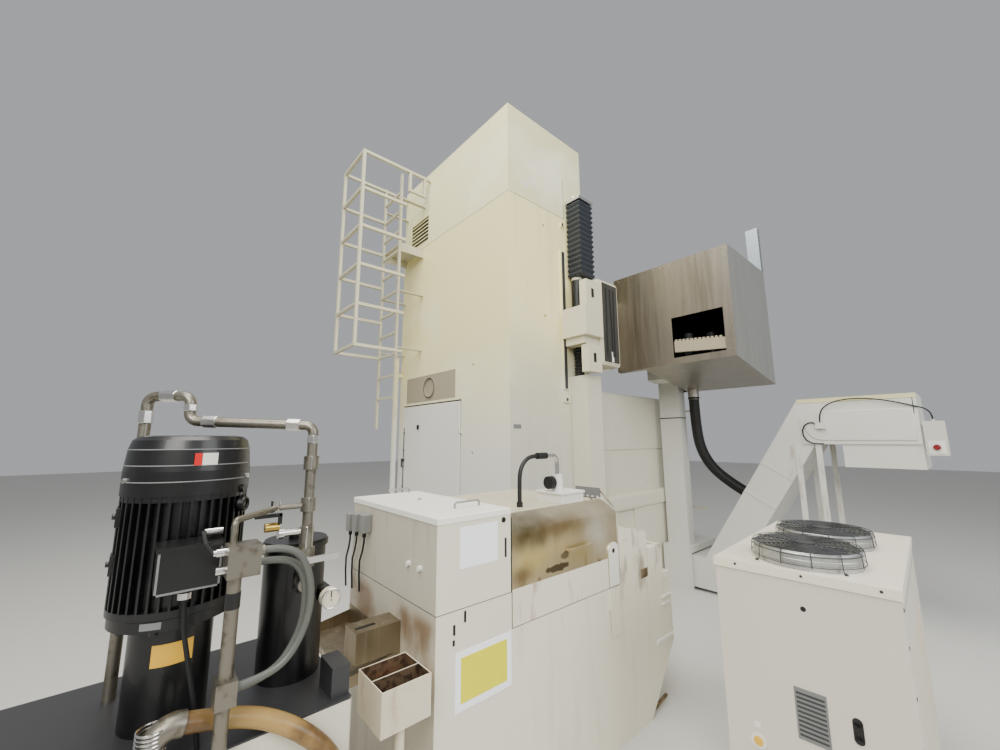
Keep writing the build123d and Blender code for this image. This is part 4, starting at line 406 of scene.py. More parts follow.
# A lit copy of the bellows cloth, for the painted highlight on each fold's edge.
bellows_highlight = Look("bellows_highlight", (84, 90, 97), 0.5)
box_grey = Look("box_grey", (126, 127, 123), 0.5)
stop_box = Look("stop_box", (190, 188, 176), 0.5)
sheet_white = Look("sheet_white", (246, 248, 253), 0.5)
lime_yellow = Look("lime_yellow", (220, 214, 6), 0.45)
stop_red = Look("stop_red", (120, 16, 26), 0.35)
dark_grey = Look("dark_grey", (48, 49, 51), 0.5)
tool_dark = Look("tool_dark", (16, 15, 14), 0.7)
end_grey = Look("end_grey", (42, 41, 37), 0.55)
mid_grey = Look("mid_grey", (112, 113, 113), 0.5)
deep_black = Look("deep_black", (7, 7, 8), 0.6)
signal_red = Look("signal_red", (196, 32, 26), 0.3)
signal_yellow = Look("signal_yellow", (222, 172, 50), 0.4)
gauge_white = Look("gauge_white", (222, 214, 190), 0.4)
floor_grey = Look("floor", (196, 195, 190), 0.7)

# The CAD's pieces and the cords: a look for each material slot, and for some pieces their own
slots = {
    "column_cream": column_paint, "head_cream": head_paint, "enclosure_grey": enclosure_paint,
    "cabinet_white": cabinet_paint, "conveyor_cream": conveyor_paint, "brown_panel": brown_panel,
    "door_grey": door_paint, "ladder_white": ladder_paint, "stainless": guard_steel,
    "machined_steel": machined, "screw_steel": bright_steel, "cast_grey": cast_grey,
    "bellows_charcoal": bellows_dark, "boot_rubber": hose_black, "motor_black": motor_black,
    "pump_black": motor_black, "pipe_steel": dull_steel, "hose_black": hose_black,
    "hose_grey": hose_grey, "hose_brown": hose_brown, "cable_black": hose_black,
    "gauge_face": gauge_white, "box_grey": box_grey, "button_red": signal_red,
    "chiller_white": chiller_white, "chiller_side": chiller_side, "galvanised": galvanised,
    "fan_dark": dark_grey, "pump_grey": mid_grey, "rust_box": rust_box,
}
own = {
    "coolant_hood": hood_steel, "drip_tray": tray_steel, "cabinet_lid": lid_paint,
    "crossrail": rail_paint, "pressure_tank": unit_paint, "estop_box": stop_box,
    "tool_carousel": tool_dark, "estop_button": stop_red,
}
for subpart in frame["record"]["subparts"]:
    node = frame["nodes"][subpart["node"]]
    chosen = own.get(subpart["node"], slots[subpart["material_slot"]])
    node.data.materials.clear()
    node.data.materials.append(chosen.material)
for name, piece in cord_pieces.items():
    piece.data.materials.append(slots[cords[name][2]].material)


# Meshes

def circle(sides):
    """Angles once around, in equal steps."""
    return [2 * math.pi * k / sides for k in range(sides)]


def arc(first, turn, steps):
    """Angles over a part of a turn, both ends included."""
    return [first + turn * k / steps for k in range(steps + 1)]


def around(centre, radius, angle):
    """The point at an angle on a circle."""
    return centre[0] + radius * math.cos(angle), centre[1] + radius * math.sin(angle)


def hoop(centre, across, other, radius, sides):
    """Points of a circle in the plane of two directions."""
    return [centre + radius * (math.cos(a) * across + math.sin(a) * other) for a in circle(sides)]


def square(x, y, half_x, half_y, z):
    """The corners of a level rectangle around a point."""
    return [(x - half_x, y - half_y, z), (x + half_x, y - half_y, z),
            (x + half_x, y + half_y, z), (x - half_x, y + half_y, z)]


class Shape:
    """Collects simple solids into one mesh; each call gives the shape back."""

    def __init__(self):
        self.points = []
        self.faces = []

    def add(self, points, faces):
        """More points, and faces by their numbers among these points."""
        start = len(self.points)
        self.points += [tuple(point) for point in points]
        self.faces += [tuple(start + corner for corner in face) for face in faces]
        return self

    def box(self, x, y, z):
        """A box given by its X, Y and Z spans."""
        points = [(a, b, c) for a in x for b in y for c in z]
        faces = [(0, 1, 3, 2), (4, 6, 7, 5), (0, 4, 5, 1), (2, 3, 7, 6), (0, 2, 6, 4), (1, 5, 7, 3)]
        return self.add(points, faces)

    def loops(self, rows, closed_rows=False):
        """Skin between rows of points, each row a closed ring."""
        count = len(rows[0])
        faces = []
        steps = len(rows) if closed_rows else len(rows) - 1
        for i in range(steps):
            j = (i + 1) % len(rows)
            for k in range(count):
                m = (k + 1) % count
                faces.append((i * count + k, i * count + m, j * count + m, j * count + k))
        if not closed_rows:
            faces.append(tuple(range(count - 1, -1, -1)))
            faces.append(tuple((len(rows) - 1) * count + k for k in range(count)))
        return self.add([point for row in rows for point in row], faces)

    def rod(self, start, end, radius, sides=20):
        """A round bar between two points."""
        start, end = Vector(start), Vector(end)
        along = (end - start).normalized()
        across = along.orthogonal().normalized()
        other = along.cross(across)
        return self.loops([hoop(centre, across, other, radius, sides) for centre in (start, end)])

    def ring(self, centre, axis, radius, thick, sides=40, round_sides=8):
        """A wire ring."""
        centre, axis = Vector(centre), Vector(axis).normalized()
        across = axis.orthogonal().normalized()
        outwards = hoop(Vector(), across, axis.cross(across), 1, sides)
        rows = [hoop(centre + radius * out, out, axis, thick, round_sides) for out in outwards]
        return self.loops(rows, closed_rows=True)

    def lathe(self, centre, profile, sides):
        """Turned about a vertical line; the profile is (radius, height) pairs."""
        rows = [[(*around(centre, r, a), height) for a in circle(sides)] for r, height in profile]
        return self.loops(rows)

    def patch(self, centre, radius, degrees, heights):
        """A thin plate on an upright cylinder, between two angles and two heights."""
        start, stop = (math.radians(value) for value in degrees)
        low, high = heights
        outer = radius + 0.001
        corners = ((radius, low), (outer, low), (outer, high), (radius, high))
        angles = arc(start, stop - start, 12)
        return self.loops([[(*around(centre, r, a), z) for r, z in corners] for a in angles])

    def wire(self, path, radius, sides=8):
        """A round wire through points."""
        path = [Vector(point) for point in path]
        rows = []
        across = (path[1] - path[0]).orthogonal().normalized()
        for i, point in enumerate(path):
            ahead = path[min(i + 1, len(path) - 1)] - path[max(i - 1, 0)]
            ahead.normalize()
            across = (across - across.dot(ahead) * ahead).normalized()
            rows.append(hoop(point, across, ahead.cross(across), radius, sides))
        return self.loops(rows)

    def prism(self, outline, axis, low, high):
        """An outline pushed along an axis; for axis 0 it is (y, z), for 1 (x, z), for 2 (x, y)."""
        def point(pair, value):
            spot = list(pair)
            spot.insert(axis, value)
            return spot
        return self.loops([[point(pair, value) for pair in outline] for value in (low, high)])

    def make(self, name, look, slot_name, body="machine", bevel=0.0, smooth=False):
        """The collected mesh as one piece of the scene, riding on a body."""
        mesh = bpy.data.meshes.new(name)
        mesh.from_pydata(self.points, [], self.faces)
        mesh.validate()
        piece = bpy.data.objects.new(name, mesh)
        link(piece)
        mesh.materials.append(look.material)
        work = bmesh.new()
        work.from_mesh(mesh)
        bmesh.ops.recalc_face_normals(work, faces=work.faces)
        work.to_mesh(mesh)
        work.free()
        if smooth:
            for face in mesh.polygons:
                face.use_smooth = True
            mesh.set_sharp_from_angle(angle=math.radians(35))
        if bevel:
            edge = piece.modifiers.new("bevel", "BEVEL")
            edge.width = bevel
            edge.segments = 2
            edge.limit_method = "ANGLE"
        if body:
            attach(piece, body)
        return piece


def boxes(name, look, slot_name, spans, body="machine", bevel=0.0):
    """One piece made of boxes, each given by its X, Y and Z spans."""
    shape = Shape()
    for span in spans:
        shape.box(*span)
    return shape.make(name, look, slot_name, body, bevel)


def upright(x, y, low, high, radius):
    """A vertical round bar, as rods and Shape.rod take it."""
    return (x, y, low), (x, y, high), radius


def rods(name, look, slot_name, bars, body="machine"):
    """One piece made of round bars, each given by its two ends and its radius."""
    shape = Shape()
    for start, end, radius in bars:
        shape.rod(start, end, radius, 24)
    return shape.make(name, look, slot_name, body, smooth=True)


# Folded covers of the lift screws, and the sleeves above the nut housings

def bellows(name, x, half_x, y, half_y, low, high, folds, depth):
    """A square folded cover with a painted highlight on the edge of each fold, from the crossrail up to the
    column's top.
    """
    rows = []
    pitch = (high - low) / folds
    for fold in range(folds):
        base = low + fold * pitch
        for share, inset in ((0.0, depth), (0.42, 0.001), (0.5, 0.0), (0.58, 0.001)):
            rows.append(square(x, y, half_x - inset, half_y - inset, base + share * pitch))
    rows.append(square(x, y, half_x - depth, half_y - depth, high))
    piece = Shape().loops(rows).make(name, bellows_dark, "bellows_charcoal", body=None)
    piece.data.materials.append(bellows_highlight.material)
    # The near-upright faces at each fold's edge take the painted highlight.
    for face in piece.data.polygons:
        if abs(face.normal.z) < 0.2:
            face.material_index = 1
    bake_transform(piece)
    return piece


for side, mark in ((-1, "left"), (1, "right")):
    screw = (side * 1.175, 1.12)
    top = bellows(f"upper_bellows_{mark}", side * 1.208, 0.098, 1.075, 0.125, 3.612, 4.52, 15, 0.016)
    rows = []
    for fold in range(9):
        rows += [(0.046, 2.482 + fold * 0.0351), (0.058, 2.482 + (fold + 0.5) * 0.0351)]
    rows.append((0.046, 2.798))
    boot = Shape().lathe(screw, rows, 28)
    boot = boot.make(f"lower_bellows_{mark}", hose_black, "boot_rubber", body=None, smooth=True)
    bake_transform(boot)
    if side < 0:
        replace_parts(top, "upper_bellows")
        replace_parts(boot, "lower_bellows")
    rows = [(0.0605, 3.205)]
    for fold in range(11):
        rows += [(0.064, 3.215 + fold * 0.035), (0.0605, 3.232 + fold * 0.035)]
    sleeve = Shape().lathe(screw, rows, 28)
    sleeve.make(f"screw_sleeve_{mark}", hose_black, "boot_rubber", "rail", smooth=True)

# Column: bare plates, cap seams, limit switch rails, porthole ring and the back door's bolt

side_x = -1.1
cap_seam = (4.335, 4.3385)
boxes("column_patches", plain_white, "head_cream", [
    ((side_x - 0.0015, side_x), (1.82, 1.92), (4.485, 4.53)),
    ((side_x - 0.0015, side_x), (1.68, 1.78), (4.545, 4.58)),
])
boxes("head_seams", dark_grey, "fan_dark", [
    ((side_x - 0.0008, side_x + 0.0008), (1.235, 2.098), cap_seam),
    ((side_x - 0.0008, side_x + 0.0008), (1.2265, 1.2295), (4.337, 4.845)),
    ((-1.098, 1.098), (2.0992, 2.1008), cap_seam),
])
boxes("louvre_edges", head_paint, "head_cream", [
    ((0.47, 0.92), (2.0972, 2.0996), (4.406 + 0.0514 * k, 4.418 + 0.0514 * k)) for k in range(7)
])
boxes("column_plate", mid_grey, "box_grey", [((side_x - 0.002, side_x), (1.955, 2.055), (1.905, 1.945))])
rails = Shape()
for y, z in (((1.262, 1.31), (2.34, 3.905)), ((1.262, 1.29), (4.222, 4.262))):
    rails.box((-1.1225, -1.1195), y, z)
rails.rod((-1.1195, 1.279, 2.224), (-1.1225, 1.279, 2.224), 0.018)
rails.make("limit_switch_rails", dark_grey, "fan_dark")
rim = Shape().ring((0.352, 2.1075, 2.428), (0, 1, 0), 0.119, 0.006, 56)
rim.make("porthole_rim", dark_grey, "fan_dark", smooth=True)
rods("door_bolt", deep_black, "fan_dark", [
    upright(0.93, 2.1145, low, high, 0.005) for low, high in ((1.14, 1.512), (1.578, 1.955))
], "back_door")
boxes("door_handle", deep_black, "fan_dark", [
    ((0.56, 0.595), (2.108, 2.126), (1.93, 1.985)),
], "back_door", 0.004)
boxes("door_bolt_guides", mid_grey, "fan_dark", [
    ((0.917, 0.943), (2.108, 2.121), (z, z + 0.02)) for z in (1.2, 1.45, 1.66, 1.88)
], "back_door")

# Crossrail end: dark side panel with its cables, and the covers of the two brackets

boxes("rail_end_panel", end_grey, "fan_dark", [
    ((-1.4215, -1.4195), (0.715, 1.0), (2.632, 3.532)),
], "rail")
cables = Shape()
heights = [2.70 + 0.06 * k for k in range(14)]
for y, wave in ((0.79, 0.006), (0.845, -0.008), (0.93, 0.005)):
    cables.wire([(-1.427, y + wave * math.sin(z * 5), z) for z in heights], 0.0055)
cables.make("rail_end_cables", deep_black, "cable_black", "rail", smooth=True)
boxes("rail_end_tag", plain_white, "box_grey", [
    ((-1.4235, -1.4215), (0.825, 0.862), (2.64, 2.755)),
], "rail")
boxes("bracket_covers", rail_paint, "conveyor_cream", [
    ((-1.421, -1.4175), (1.085, 1.245), (low, low + 0.185)) for low in (2.553, 3.263)
], "rail")
boxes("bracket_slots", deep_black, "fan_dark", [
    ((-1.4225, -1.4205), (1.150, 1.196), (low, low + 0.10)) for low in (2.60, 3.31)
], "rail")

# Magazine guard: the toothed, slanting bar behind its window, the rivets, and the clamp of its hose

bar = Shape()
bar.prism([(-1.880, 2.868), (-2.41, 2.822), (-2.41, 2.702), (-1.880, 2.745)], 1, 0.300, 0.340)
for k in range(12):
    tooth = -1.90 - 0.042 * k
    height = 2.866 - (-1.88 - tooth) * 0.0868
    bar.box((tooth - 0.012, tooth + 0.012), (0.302, 0.338), (height - 0.01, height + 0.022))
bar.make("window_bar", brown_panel, "conveyor_cream", bevel=0.003)
spots = [(-2.478, 2.68 + 0.096 * k) for k in range(12)] + [(-2.45 + 0.094 * k, 3.752) for k in range(14)]
rivets = Shape()
for x, z in spots:
    rivets.rod((x, 0.36, z), (x, 0.3625, z), 0.006, 12)
rivets.make("guard_rivets", bright_steel, "stainless", smooth=True)
rods("hose_clamp", deep_black, "boot_rubber", [upright(-1.6, -0.69, 2.312, 2.338, 0.0685)])

# Chip conveyor: capped upper edge, raised cover, joint strips and the short cable beside the cover

boxes("conveyor_edge", edge_paint, "conveyor_cream", [
    ((-3.629, -2.735), (-0.552, -0.546), (2.168, 2.2095)),
])
round_end = [around((-2.93, 1.928), 0.147, a) for a in arc(math.pi / 2, -math.pi, 16)]
cover = Shape().prism([(-3.60, 2.075)] + round_end + [(-3.60, 1.781)], 1, -0.5500, -0.5275)
cover.make("conveyor_cover", conveyor_paint, "conveyor_cream", bevel=0.006, smooth=True)
strips = Shape()
for along in (0.95, 1.32):
    x, z = around((incline_x, incline_z), along, math.pi - slope)
    nx, nz = -math.sin(slope) * 0.335, -math.cos(slope) * 0.335
    tx, tz = -math.cos(slope) * 0.03, math.sin(slope) * 0.03
    corners = [(x, z), (x + tx, z + tz), (x + tx + nx, z + tz + nz), (x + nx, z + nz)]
    strips.prism(corners, 1, -0.552, -0.545)
strips.make("conveyor_joints", conveyor_paint, "conveyor_cream", bevel=0.001)
path = [(-2.885, 1.945), (-2.862, 1.962), (-2.825, 1.962), (-2.785, 1.935), (-2.765, 1.89),
        (-2.766, 1.835), (-2.79, 1.785), (-2.83, 1.757), (-2.88, 1.748), (-2.93, 1.748)]
loop = Shape().wire([(x, -0.5205, z) for x, z in path], 0.0062)
loop.make("cover_cable", deep_black, "cable_black", smooth=True)
boxes("post_tie", deep_black, "boot_rubber", [((-1.452, -1.175), (-0.758, -0.587), (2.070, 2.082))])
boxes("conveyor_end_seam", deep_black, "fan_dark", [((-3.607, -3.6015), (-0.5505, -0.5490), (1.75, 2.168))])
boxes("stop_box_rim", plain_white, "fan_dark", [((-3.765, -3.66), (-0.528, -0.5265), (1.668, 1.778))])

# Coolant unit: seams, bare plates, knobs, terminal boxes and the marks on its side

plate = (-2.3445, -2.3418)
boxes("bare_plates", sheet_white, "cabinet_white", [
    (plate, (3.322, 3.546), (1.225, 1.405)),
    (plate, (3.238, 3.564), (0.650, 0.886)),
])
boxes("yellow_plate", lime_yellow, "cabinet_white", [((-2.3460, -2.3440), (3.268, 3.536), (0.68, 0.86))])
marks = Shape()
for y, low, high in ((3.515, 1.0, 1.046), (3.573, 0.962, 1.003), (3.575, 0.92, 0.942), (3.271, 1.23, 1.32)):
    marks.box((-2.3455, -2.3418), (y - 0.005, y + 0.005), (low, high))
marks.rod((-2.3418, 3.284, 1.407), (-2.3462, 3.284, 1.407), 0.013)
marks.box((-2.3424, -2.330), (3.2285, 3.2318), (0.9, 1.41))
marks.make("side_marks", deep_black, "fan_dark", smooth=True)
boxes("grommet_plate", cabinet_paint, "cabinet_white", [
    ((-2.3428, -2.3405), (3.256, 3.312), (1.38, 1.4245)),
])
rods("end_knobs", plain_white, "cabinet_white", [
    ((x, 3.667, 1.225), (x, 3.683, 1.225), 0.013) for x in (-2.102, -2.207)
])
spots = ((-1.452, 1.275), (-1.545, 1.285), (-1.650, 1.293))
boxes("terminal_boxes", box_grey, "box_grey", [
    ((x - 0.024, x + 0.024), (3.6675, 3.722), (low, low + 0.1)) for x, low in spots
], bevel=0.005)
hanging = ((0, 3.70, -0.01), (0, 3.70, -0.05), (0.02, 3.698, -0.10), (0.07, 3.69, -0.16),
           (0.09, 3.682, -0.24), (0.09, 3.676, -0.33))
tails = Shape()
for x, low in spots:
    tails.rod((x, 3.70, low + 0.004), (x, 3.70, low - 0.022), 0.010, 16)
    tails.wire([(x + out, y, low + down) for out, y, down in hanging], 0.0055)
tails.make("terminal_tails", deep_black, "cable_black", smooth=True)
boxes("seam_lines", dark_grey, "fan_dark", [
    ((-2.3425, -2.3415), (3.234, 3.667), (1.0575, 1.0605)),
    ((-2.342, -1.413), (3.6665, 3.6675), (1.0575, 1.0605)),
])
boxes("tank_handles", plain_white, "cabinet_white", [
    ((-2.356, -2.341), (1.672, 1.800), (0.690, 0.706)),
    ((-2.356, -2.341), (1.708, 1.800), (0.645, 0.660)),
    ((-2.352, -2.341), (1.670, 1.893), (0.418, 0.442)),
], bevel=0.003)
rods("drain_lever", dirty_steel, "pipe_steel", [((-2.32, 2.06, 0.012), (-2.32, 1.77, 0.060), 0.011)])
boxes("tank_box_edges", cabinet_paint, "cabinet_white", [
    ((-2.3438, -2.3415), (2.005, 2.286), (1.120, 1.165)),
    ((-2.3438, -2.3415), (1.772, 1.940), (1.015, 1.048)),
])
boxes("tank_box_stain", dirty_steel, "rust_box", [((-2.3422, -2.3415), (1.96, 2.05), (0.87, 0.93))])

# Lid of the cabinet with its two hinges and its two bow handles

lid = Shape().loops([
    square(-1.8775, 3.4535, 0.4685 - inset, 0.2175 - inset, z)
    for inset, z in ((0, 1.4303), (0, 1.4555), (0.0045, 1.46), (0.042, 1.46), (0.042, 1.458))
])
for start in (3.3003, 3.5503):
    stop = start + 0.0497
    ends = [(0.0043, start), (0.008, start), (0.008, stop), (0.0043, stop)]
    lid.loops([[(-1.393 + r * math.cos(a), y, 1.436 + r * math.sin(a)) for r, y in ends]
               for a in circle(24)], closed_rows=True)
    lid.box((-1.419, -1.400), (start, stop), (1.438, 1.444))
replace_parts(lid.make("lid_sheet", lid_paint, "cabinet_white", "lid"), "cabinet_lid")
bows = Shape()
for x, near, far in ((-1.445, 3.32, 3.46), (-2.165, 3.30, 3.455)):
    bend_in = [around((near + 0.012, 1.474), 0.012, a) for a in arc(math.pi, -math.pi / 2, 5)]
    bend_out = [(far + near - y, z) for y, z in reversed(bend_in)]
    path = [(near, 1.4575)] + bend_in + bend_out + [(far, 1.4575)]
    bows.wire([(x, y, z) for y, z in path], 0.0055, 12)
bows.rod((-1.773, 3.429, 1.458), (-1.773, 3.429, 1.466), 0.009)
bows.make("lid_handles", handle_steel, "screw_steel", "lid", smooth=True)

# Hood over the coolant channel: painted lower band, bolts, lifting lug and the steel deck

boxes("hood_band", rust_white, "rust_box", [((-2.3435, -2.3415), (2.418, 3.226), (0.896, 1.067))], "hood")
lug_y, lug_z = 2.364, 1.106
round_top = [around((lug_y, lug_z), 0.0525, a) for a in arc(0, math.pi, 14)]
lug = Shape()
for half in (-1, 1):
    hole = [around((lug_y, lug_z), 0.0155, a) for a in arc(math.pi / 2, -half * math.pi, 12)]
    top = [pair for pair in round_top if (pair[0] - lug_y) * half >= -1e-6]
    top.sort(key=lambda pair: -pair[1])
    outer = top + [(lug_y + half * 0.0525, 0.9), (lug_y, 0.9)]
    lug.prism(outer + hole[::-1], 0, -2.3495, -2.3478)
lug.make("hood_lug_paint", plain_white, "cabinet_white", "hood")
boxes("tank_lug_paint", cabinet_paint, "cabinet_white", [
    ((-2.3495, -2.3478), (2.3115, 2.4165), (0.615, 0.8885)),
])
rods("hood_bolts", dirty_steel, "screw_steel", [
    ((-2.342, y, 1.078), (-2.349, y, 1.078), 0.008) for y in (3.034, 2.507)
], "hood")
boxes("deck_sheet", deck_paint, "stainless", [((-2.2155, -1.414), (2.307, 3.2315), (1.3995, 1.4012))])
rods("deck_pins", dirty_steel, "screw_steel", [
    upright(x, y, 1.40, 1.409, 0.009) for x in (-2.19, -1.9) for y in (2.36, 3.12)
])

# Riser pump: white mount and valve, black knob and coupling, bright elbow

pump_x, pump_y = -2.09, 2.585
boxes("pump_mount", plain_white, "cabinet_white", [
    ((-2.1972, -1.9828), (2.4528, 2.6672), (1.4005, 1.456)),
    ((-2.2052, -1.9748), (2.4448, 2.6752), (1.4555, 1.4712)),
], bevel=0.003)
rods("pump_valve", plain_white, "cabinet_white", [
    upright(pump_x, pump_y, 1.47, 1.573, 0.0368),
    ((pump_x, 2.61, 1.525), (pump_x, 2.637, 1.525), 0.0126),
])
rods("pump_knob", deep_black, "fan_dark", [
    ((pump_x, 2.6355, 1.525), (pump_x, 2.6768, 1.525), 0.0408),
    ((pump_x, 2.689, 1.697), (pump_x, 2.776, 1.697), 0.0206),
    upright(pump_x, 2.93, 1.4005, 1.431, 0.0186),
])
bend = [around((2.63, 1.652), 0.045, a) for a in arc(math.pi / 2, math.pi / 2, 8)]
path = [(2.70, 1.697)] + bend + [(pump_y, 1.573)]
elbow_pipe = Shape().wire([(pump_x, y, z) for y, z in path], 0.0136, 16)
elbow_pipe.make("pump_elbow", bright_steel, "screw_steel", smooth=True)
rods("bracket_arm", dirty_steel, "pipe_steel", [((-2.20, 2.273, 1.452), (-2.30, 2.273, 1.36), 0.004)])

# Chip box and chute: rusted floors and dark slots

boxes("chip_floor", orange_rust, "rust_box", [((-2.3218, -2.2132), (3.7362, 3.9338), (0.8325, 0.835))])
boxes("chip_outer_floor", dark_grey, "rust_box", [((-2.4158, -2.3262), (3.7362, 3.9338), (0.7525, 0.755))])
boxes("chute_slot", deep_black, "fan_dark", [((-1.9975, -1.9725), (3.7725, 3.8675), (0.938, 0.9515))])

# High pressure unit: painted highlights on the motor, plates, glands and pipe fittings

motor = (-2.252, 4.552)
up = (0, 0, 1)
# Painted highlights: thin light rings around the black motor cover.
ring_highlights = Shape()
for height, radius in ((1.683, 0.1642), (1.729, 0.1628), (1.775, 0.1584)):
    ring_highlights.ring((*motor, height), up, radius, 0.0018, 72, 6)
ring_highlights.make("cover_ring_highlights", mid_grey, "motor_black", smooth=True)
cover_bolts = Shape()
for degrees in (112, 240, 0, 300):
    near, far = (around(motor, radius, math.radians(degrees)) for radius in (0.162, 0.171))
    cover_bolts.rod((*near, 1.687), (*far, 1.687), 0.008, 6)
cover_bolts.make("cover_bolts", bright_steel, "screw_steel")
for name, radius, degrees, heights, look, slot_name in (
    ("cover_plate_red", 0.1642, (178, 184.4), (1.729, 1.764), signal_red, "button_red"),
    ("cover_plate_white", 0.1642, (184.7, 198.5), (1.729, 1.764), plain_white, "cabinet_white"),
    ("flange_plate", 0.1556, (148, 166), (1.292, 1.310), mid_grey, "box_grey"),
    ("bell_plate", 0.1035, (152, 206), (1.174, 1.232), signal_yellow, "cabinet_white"),
):
    Shape().patch(motor, radius, degrees, heights).make(name, look, slot_name)
pads = Shape()
for low in (1.425, 1.555):
    pads.box((-2.29, -2.235), (4.690, 4.716), (low, low + 0.055))
    pads.rod((-2.262, 4.715, low + 0.028), (-2.262, 4.724, low + 0.028), 0.009, 6)
pads.make("motor_pads", motor_black, "motor_black", bevel=0.002)
out = Vector((-0.58, -0.81, 0)).normalized()
eye_centre = Vector((*motor, 1.60)) + out * 0.163
top_centre = Vector((*motor, 1.648))
eye = Shape().rod(eye_centre, eye_centre + out * 0.012, 0.024, 28)
eye.ring(eye_centre + out * 0.013, out, 0.018, 0.005, 32)
eye.rod(top_centre + out * 0.150, top_centre + out * 0.172, 0.012)
eye.make("motor_eye", motor_black, "motor_black", smooth=True)
# Painted highlight: light lines along the edges of the terminal box's face.
boxes("terminal_edge_highlight", mid_grey, "motor_black", [((-2.5215, -2.5195), y, z) for y, z in (
    ((4.4805, 4.6195), (1.5145, 1.5195)), ((4.4805, 4.6195), (1.4095, 1.4145)),
    ((4.4805, 4.4855), (1.4095, 1.5195)), ((4.6145, 4.6195), (1.4095, 1.5195)),
)])
rods("bright_glands", bright_steel, "screw_steel", [
    ((-2.572, 4.478, 1.505), (-2.572, 4.502, 1.505), 0.011),
    ((-2.572, 4.478, 1.459), (-2.572, 4.500, 1.459), 0.011),
    ((-2.572, 4.496, 1.505), (-2.572, 4.508, 1.505), 0.008),
    ((-2.47, 4.478, 1.545), (-2.47, 4.520, 1.545), 0.010),
    upright(-2.466, 4.55, 1.378, 1.394, 0.0172),
])
thin = Shape()
for radius, path in (
    (0.005, [(-2.572, 4.508, 1.505), (-2.565, 4.525, 1.53), (-2.53, 4.53, 1.555), (-2.47, 4.52, 1.545)]),
    (0.006, [(-2.466, 4.55, 1.38), (-2.468, 4.545, 1.30), (-2.478, 4.525, 1.20), (-2.486, 4.50, 1.08),
             (-2.489, 4.49, 1.0)]),
    (0.0045, [(-2.52, 4.46, 1.0), (-2.532, 4.452, 1.1), (-2.530, 4.448, 1.25), (-2.535, 4.455, 1.42)]),
):
    thin.wire(path, radius)
thin.make("thin_cables", deep_black, "cable_black", smooth=True)

# Stand pipe with its nuts, small valve and gauge, and the fittings beside it

pipe = (-2.385, 4.222)
fittings = Shape()
for start, end, radius in (
    upright(-2.05, 4.678, 1.86, 1.905, 0.0215),
    ((-2.083, 4.641, 1.954), (-2.118, 4.602, 1.954), 0.0215),
    upright(-2.152, 4.564, 1.902, 1.926, 0.0215),
    ((-2.178, 4.526, 1.8663), (-2.203, 4.489, 1.8646), 0.0215),
    ((-2.334, 4.297, 1.8555), (-2.359, 4.260, 1.8538), 0.0215),
    upright(*pipe, 1.79, 1.818, 0.0215),
    upright(*pipe, 1.5595, 1.6065, 0.0258),
    upright(*pipe, 1.6995, 1.7465, 0.0258),
    upright(*pipe, 1.44, 1.511, 0.0232),
):
    fittings.rod(start, end, radius, 6)
fittings.make("pipe_fittings", bright_steel, "screw_steel", bevel=0.002)
rods("small_valve", bright_steel, "screw_steel", [
    ((-2.385, 4.245, 1.497), (-2.385, 4.308, 1.497), 0.012),
    upright(-2.385, 4.325, 1.566, 1.604, 0.014),
    ((-2.385, 4.296, 1.497), (-2.385, 4.312, 1.497), 0.017),
])
rods("valve_body", brass, "screw_steel", [((-2.385, 4.31, 1.52), (-2.385, 4.352, 1.52), 0.014)])
boxes("valve_handle", deep_black, "fan_dark", [
    ((-2.405, -2.396), (4.306, 4.386), (1.553, 1.565)),
    ((-2.405, -2.396), (4.306, 4.318), (1.53, 1.565)),
], bevel=0.002)
rods("black_fittings", motor_black, "motor_black", [
    upright(*pipe, 1.302, 1.379, 0.0226), upright(-2.575, 4.455, 1.36, 1.40, 0.0186),
])
gauge_rim = Shape().ring((-2.3925, 4.128, 1.257), (1, 0, 0), 0.0312, 0.0028)
gauge_rim.make("gauge_rim", bright_steel, "screw_steel", smooth=True)
boxes("gauge_needle", deep_black, "fan_dark", [((-2.3915, -2.3905), (4.126, 4.1292), (1.25, 1.281))])
suction_ribs = Shape()
for k in range(7):
    suction_ribs.ring((-2.51, 4.59, 1.045 + 0.009 * k), up, 0.0302, 0.003, 32)
suction_ribs.rod((-2.51, 4.59, 1.0), (-2.51, 4.59, 1.0355), 0.0346, 24)
suction_ribs.make("suction_ribs", bright_steel, "screw_steel", smooth=True)

# Chiller: everything here is in the chiller's own turned frame

turned = math.radians(2.9)


def beside(x, y, z):
    """A point of the chiller's own frame, in the machine's frame."""
    return (-3.283 + x * math.cos(turned) - y * math.sin(turned),
            1.713 + x * math.sin(turned) + y * math.cos(turned), z)


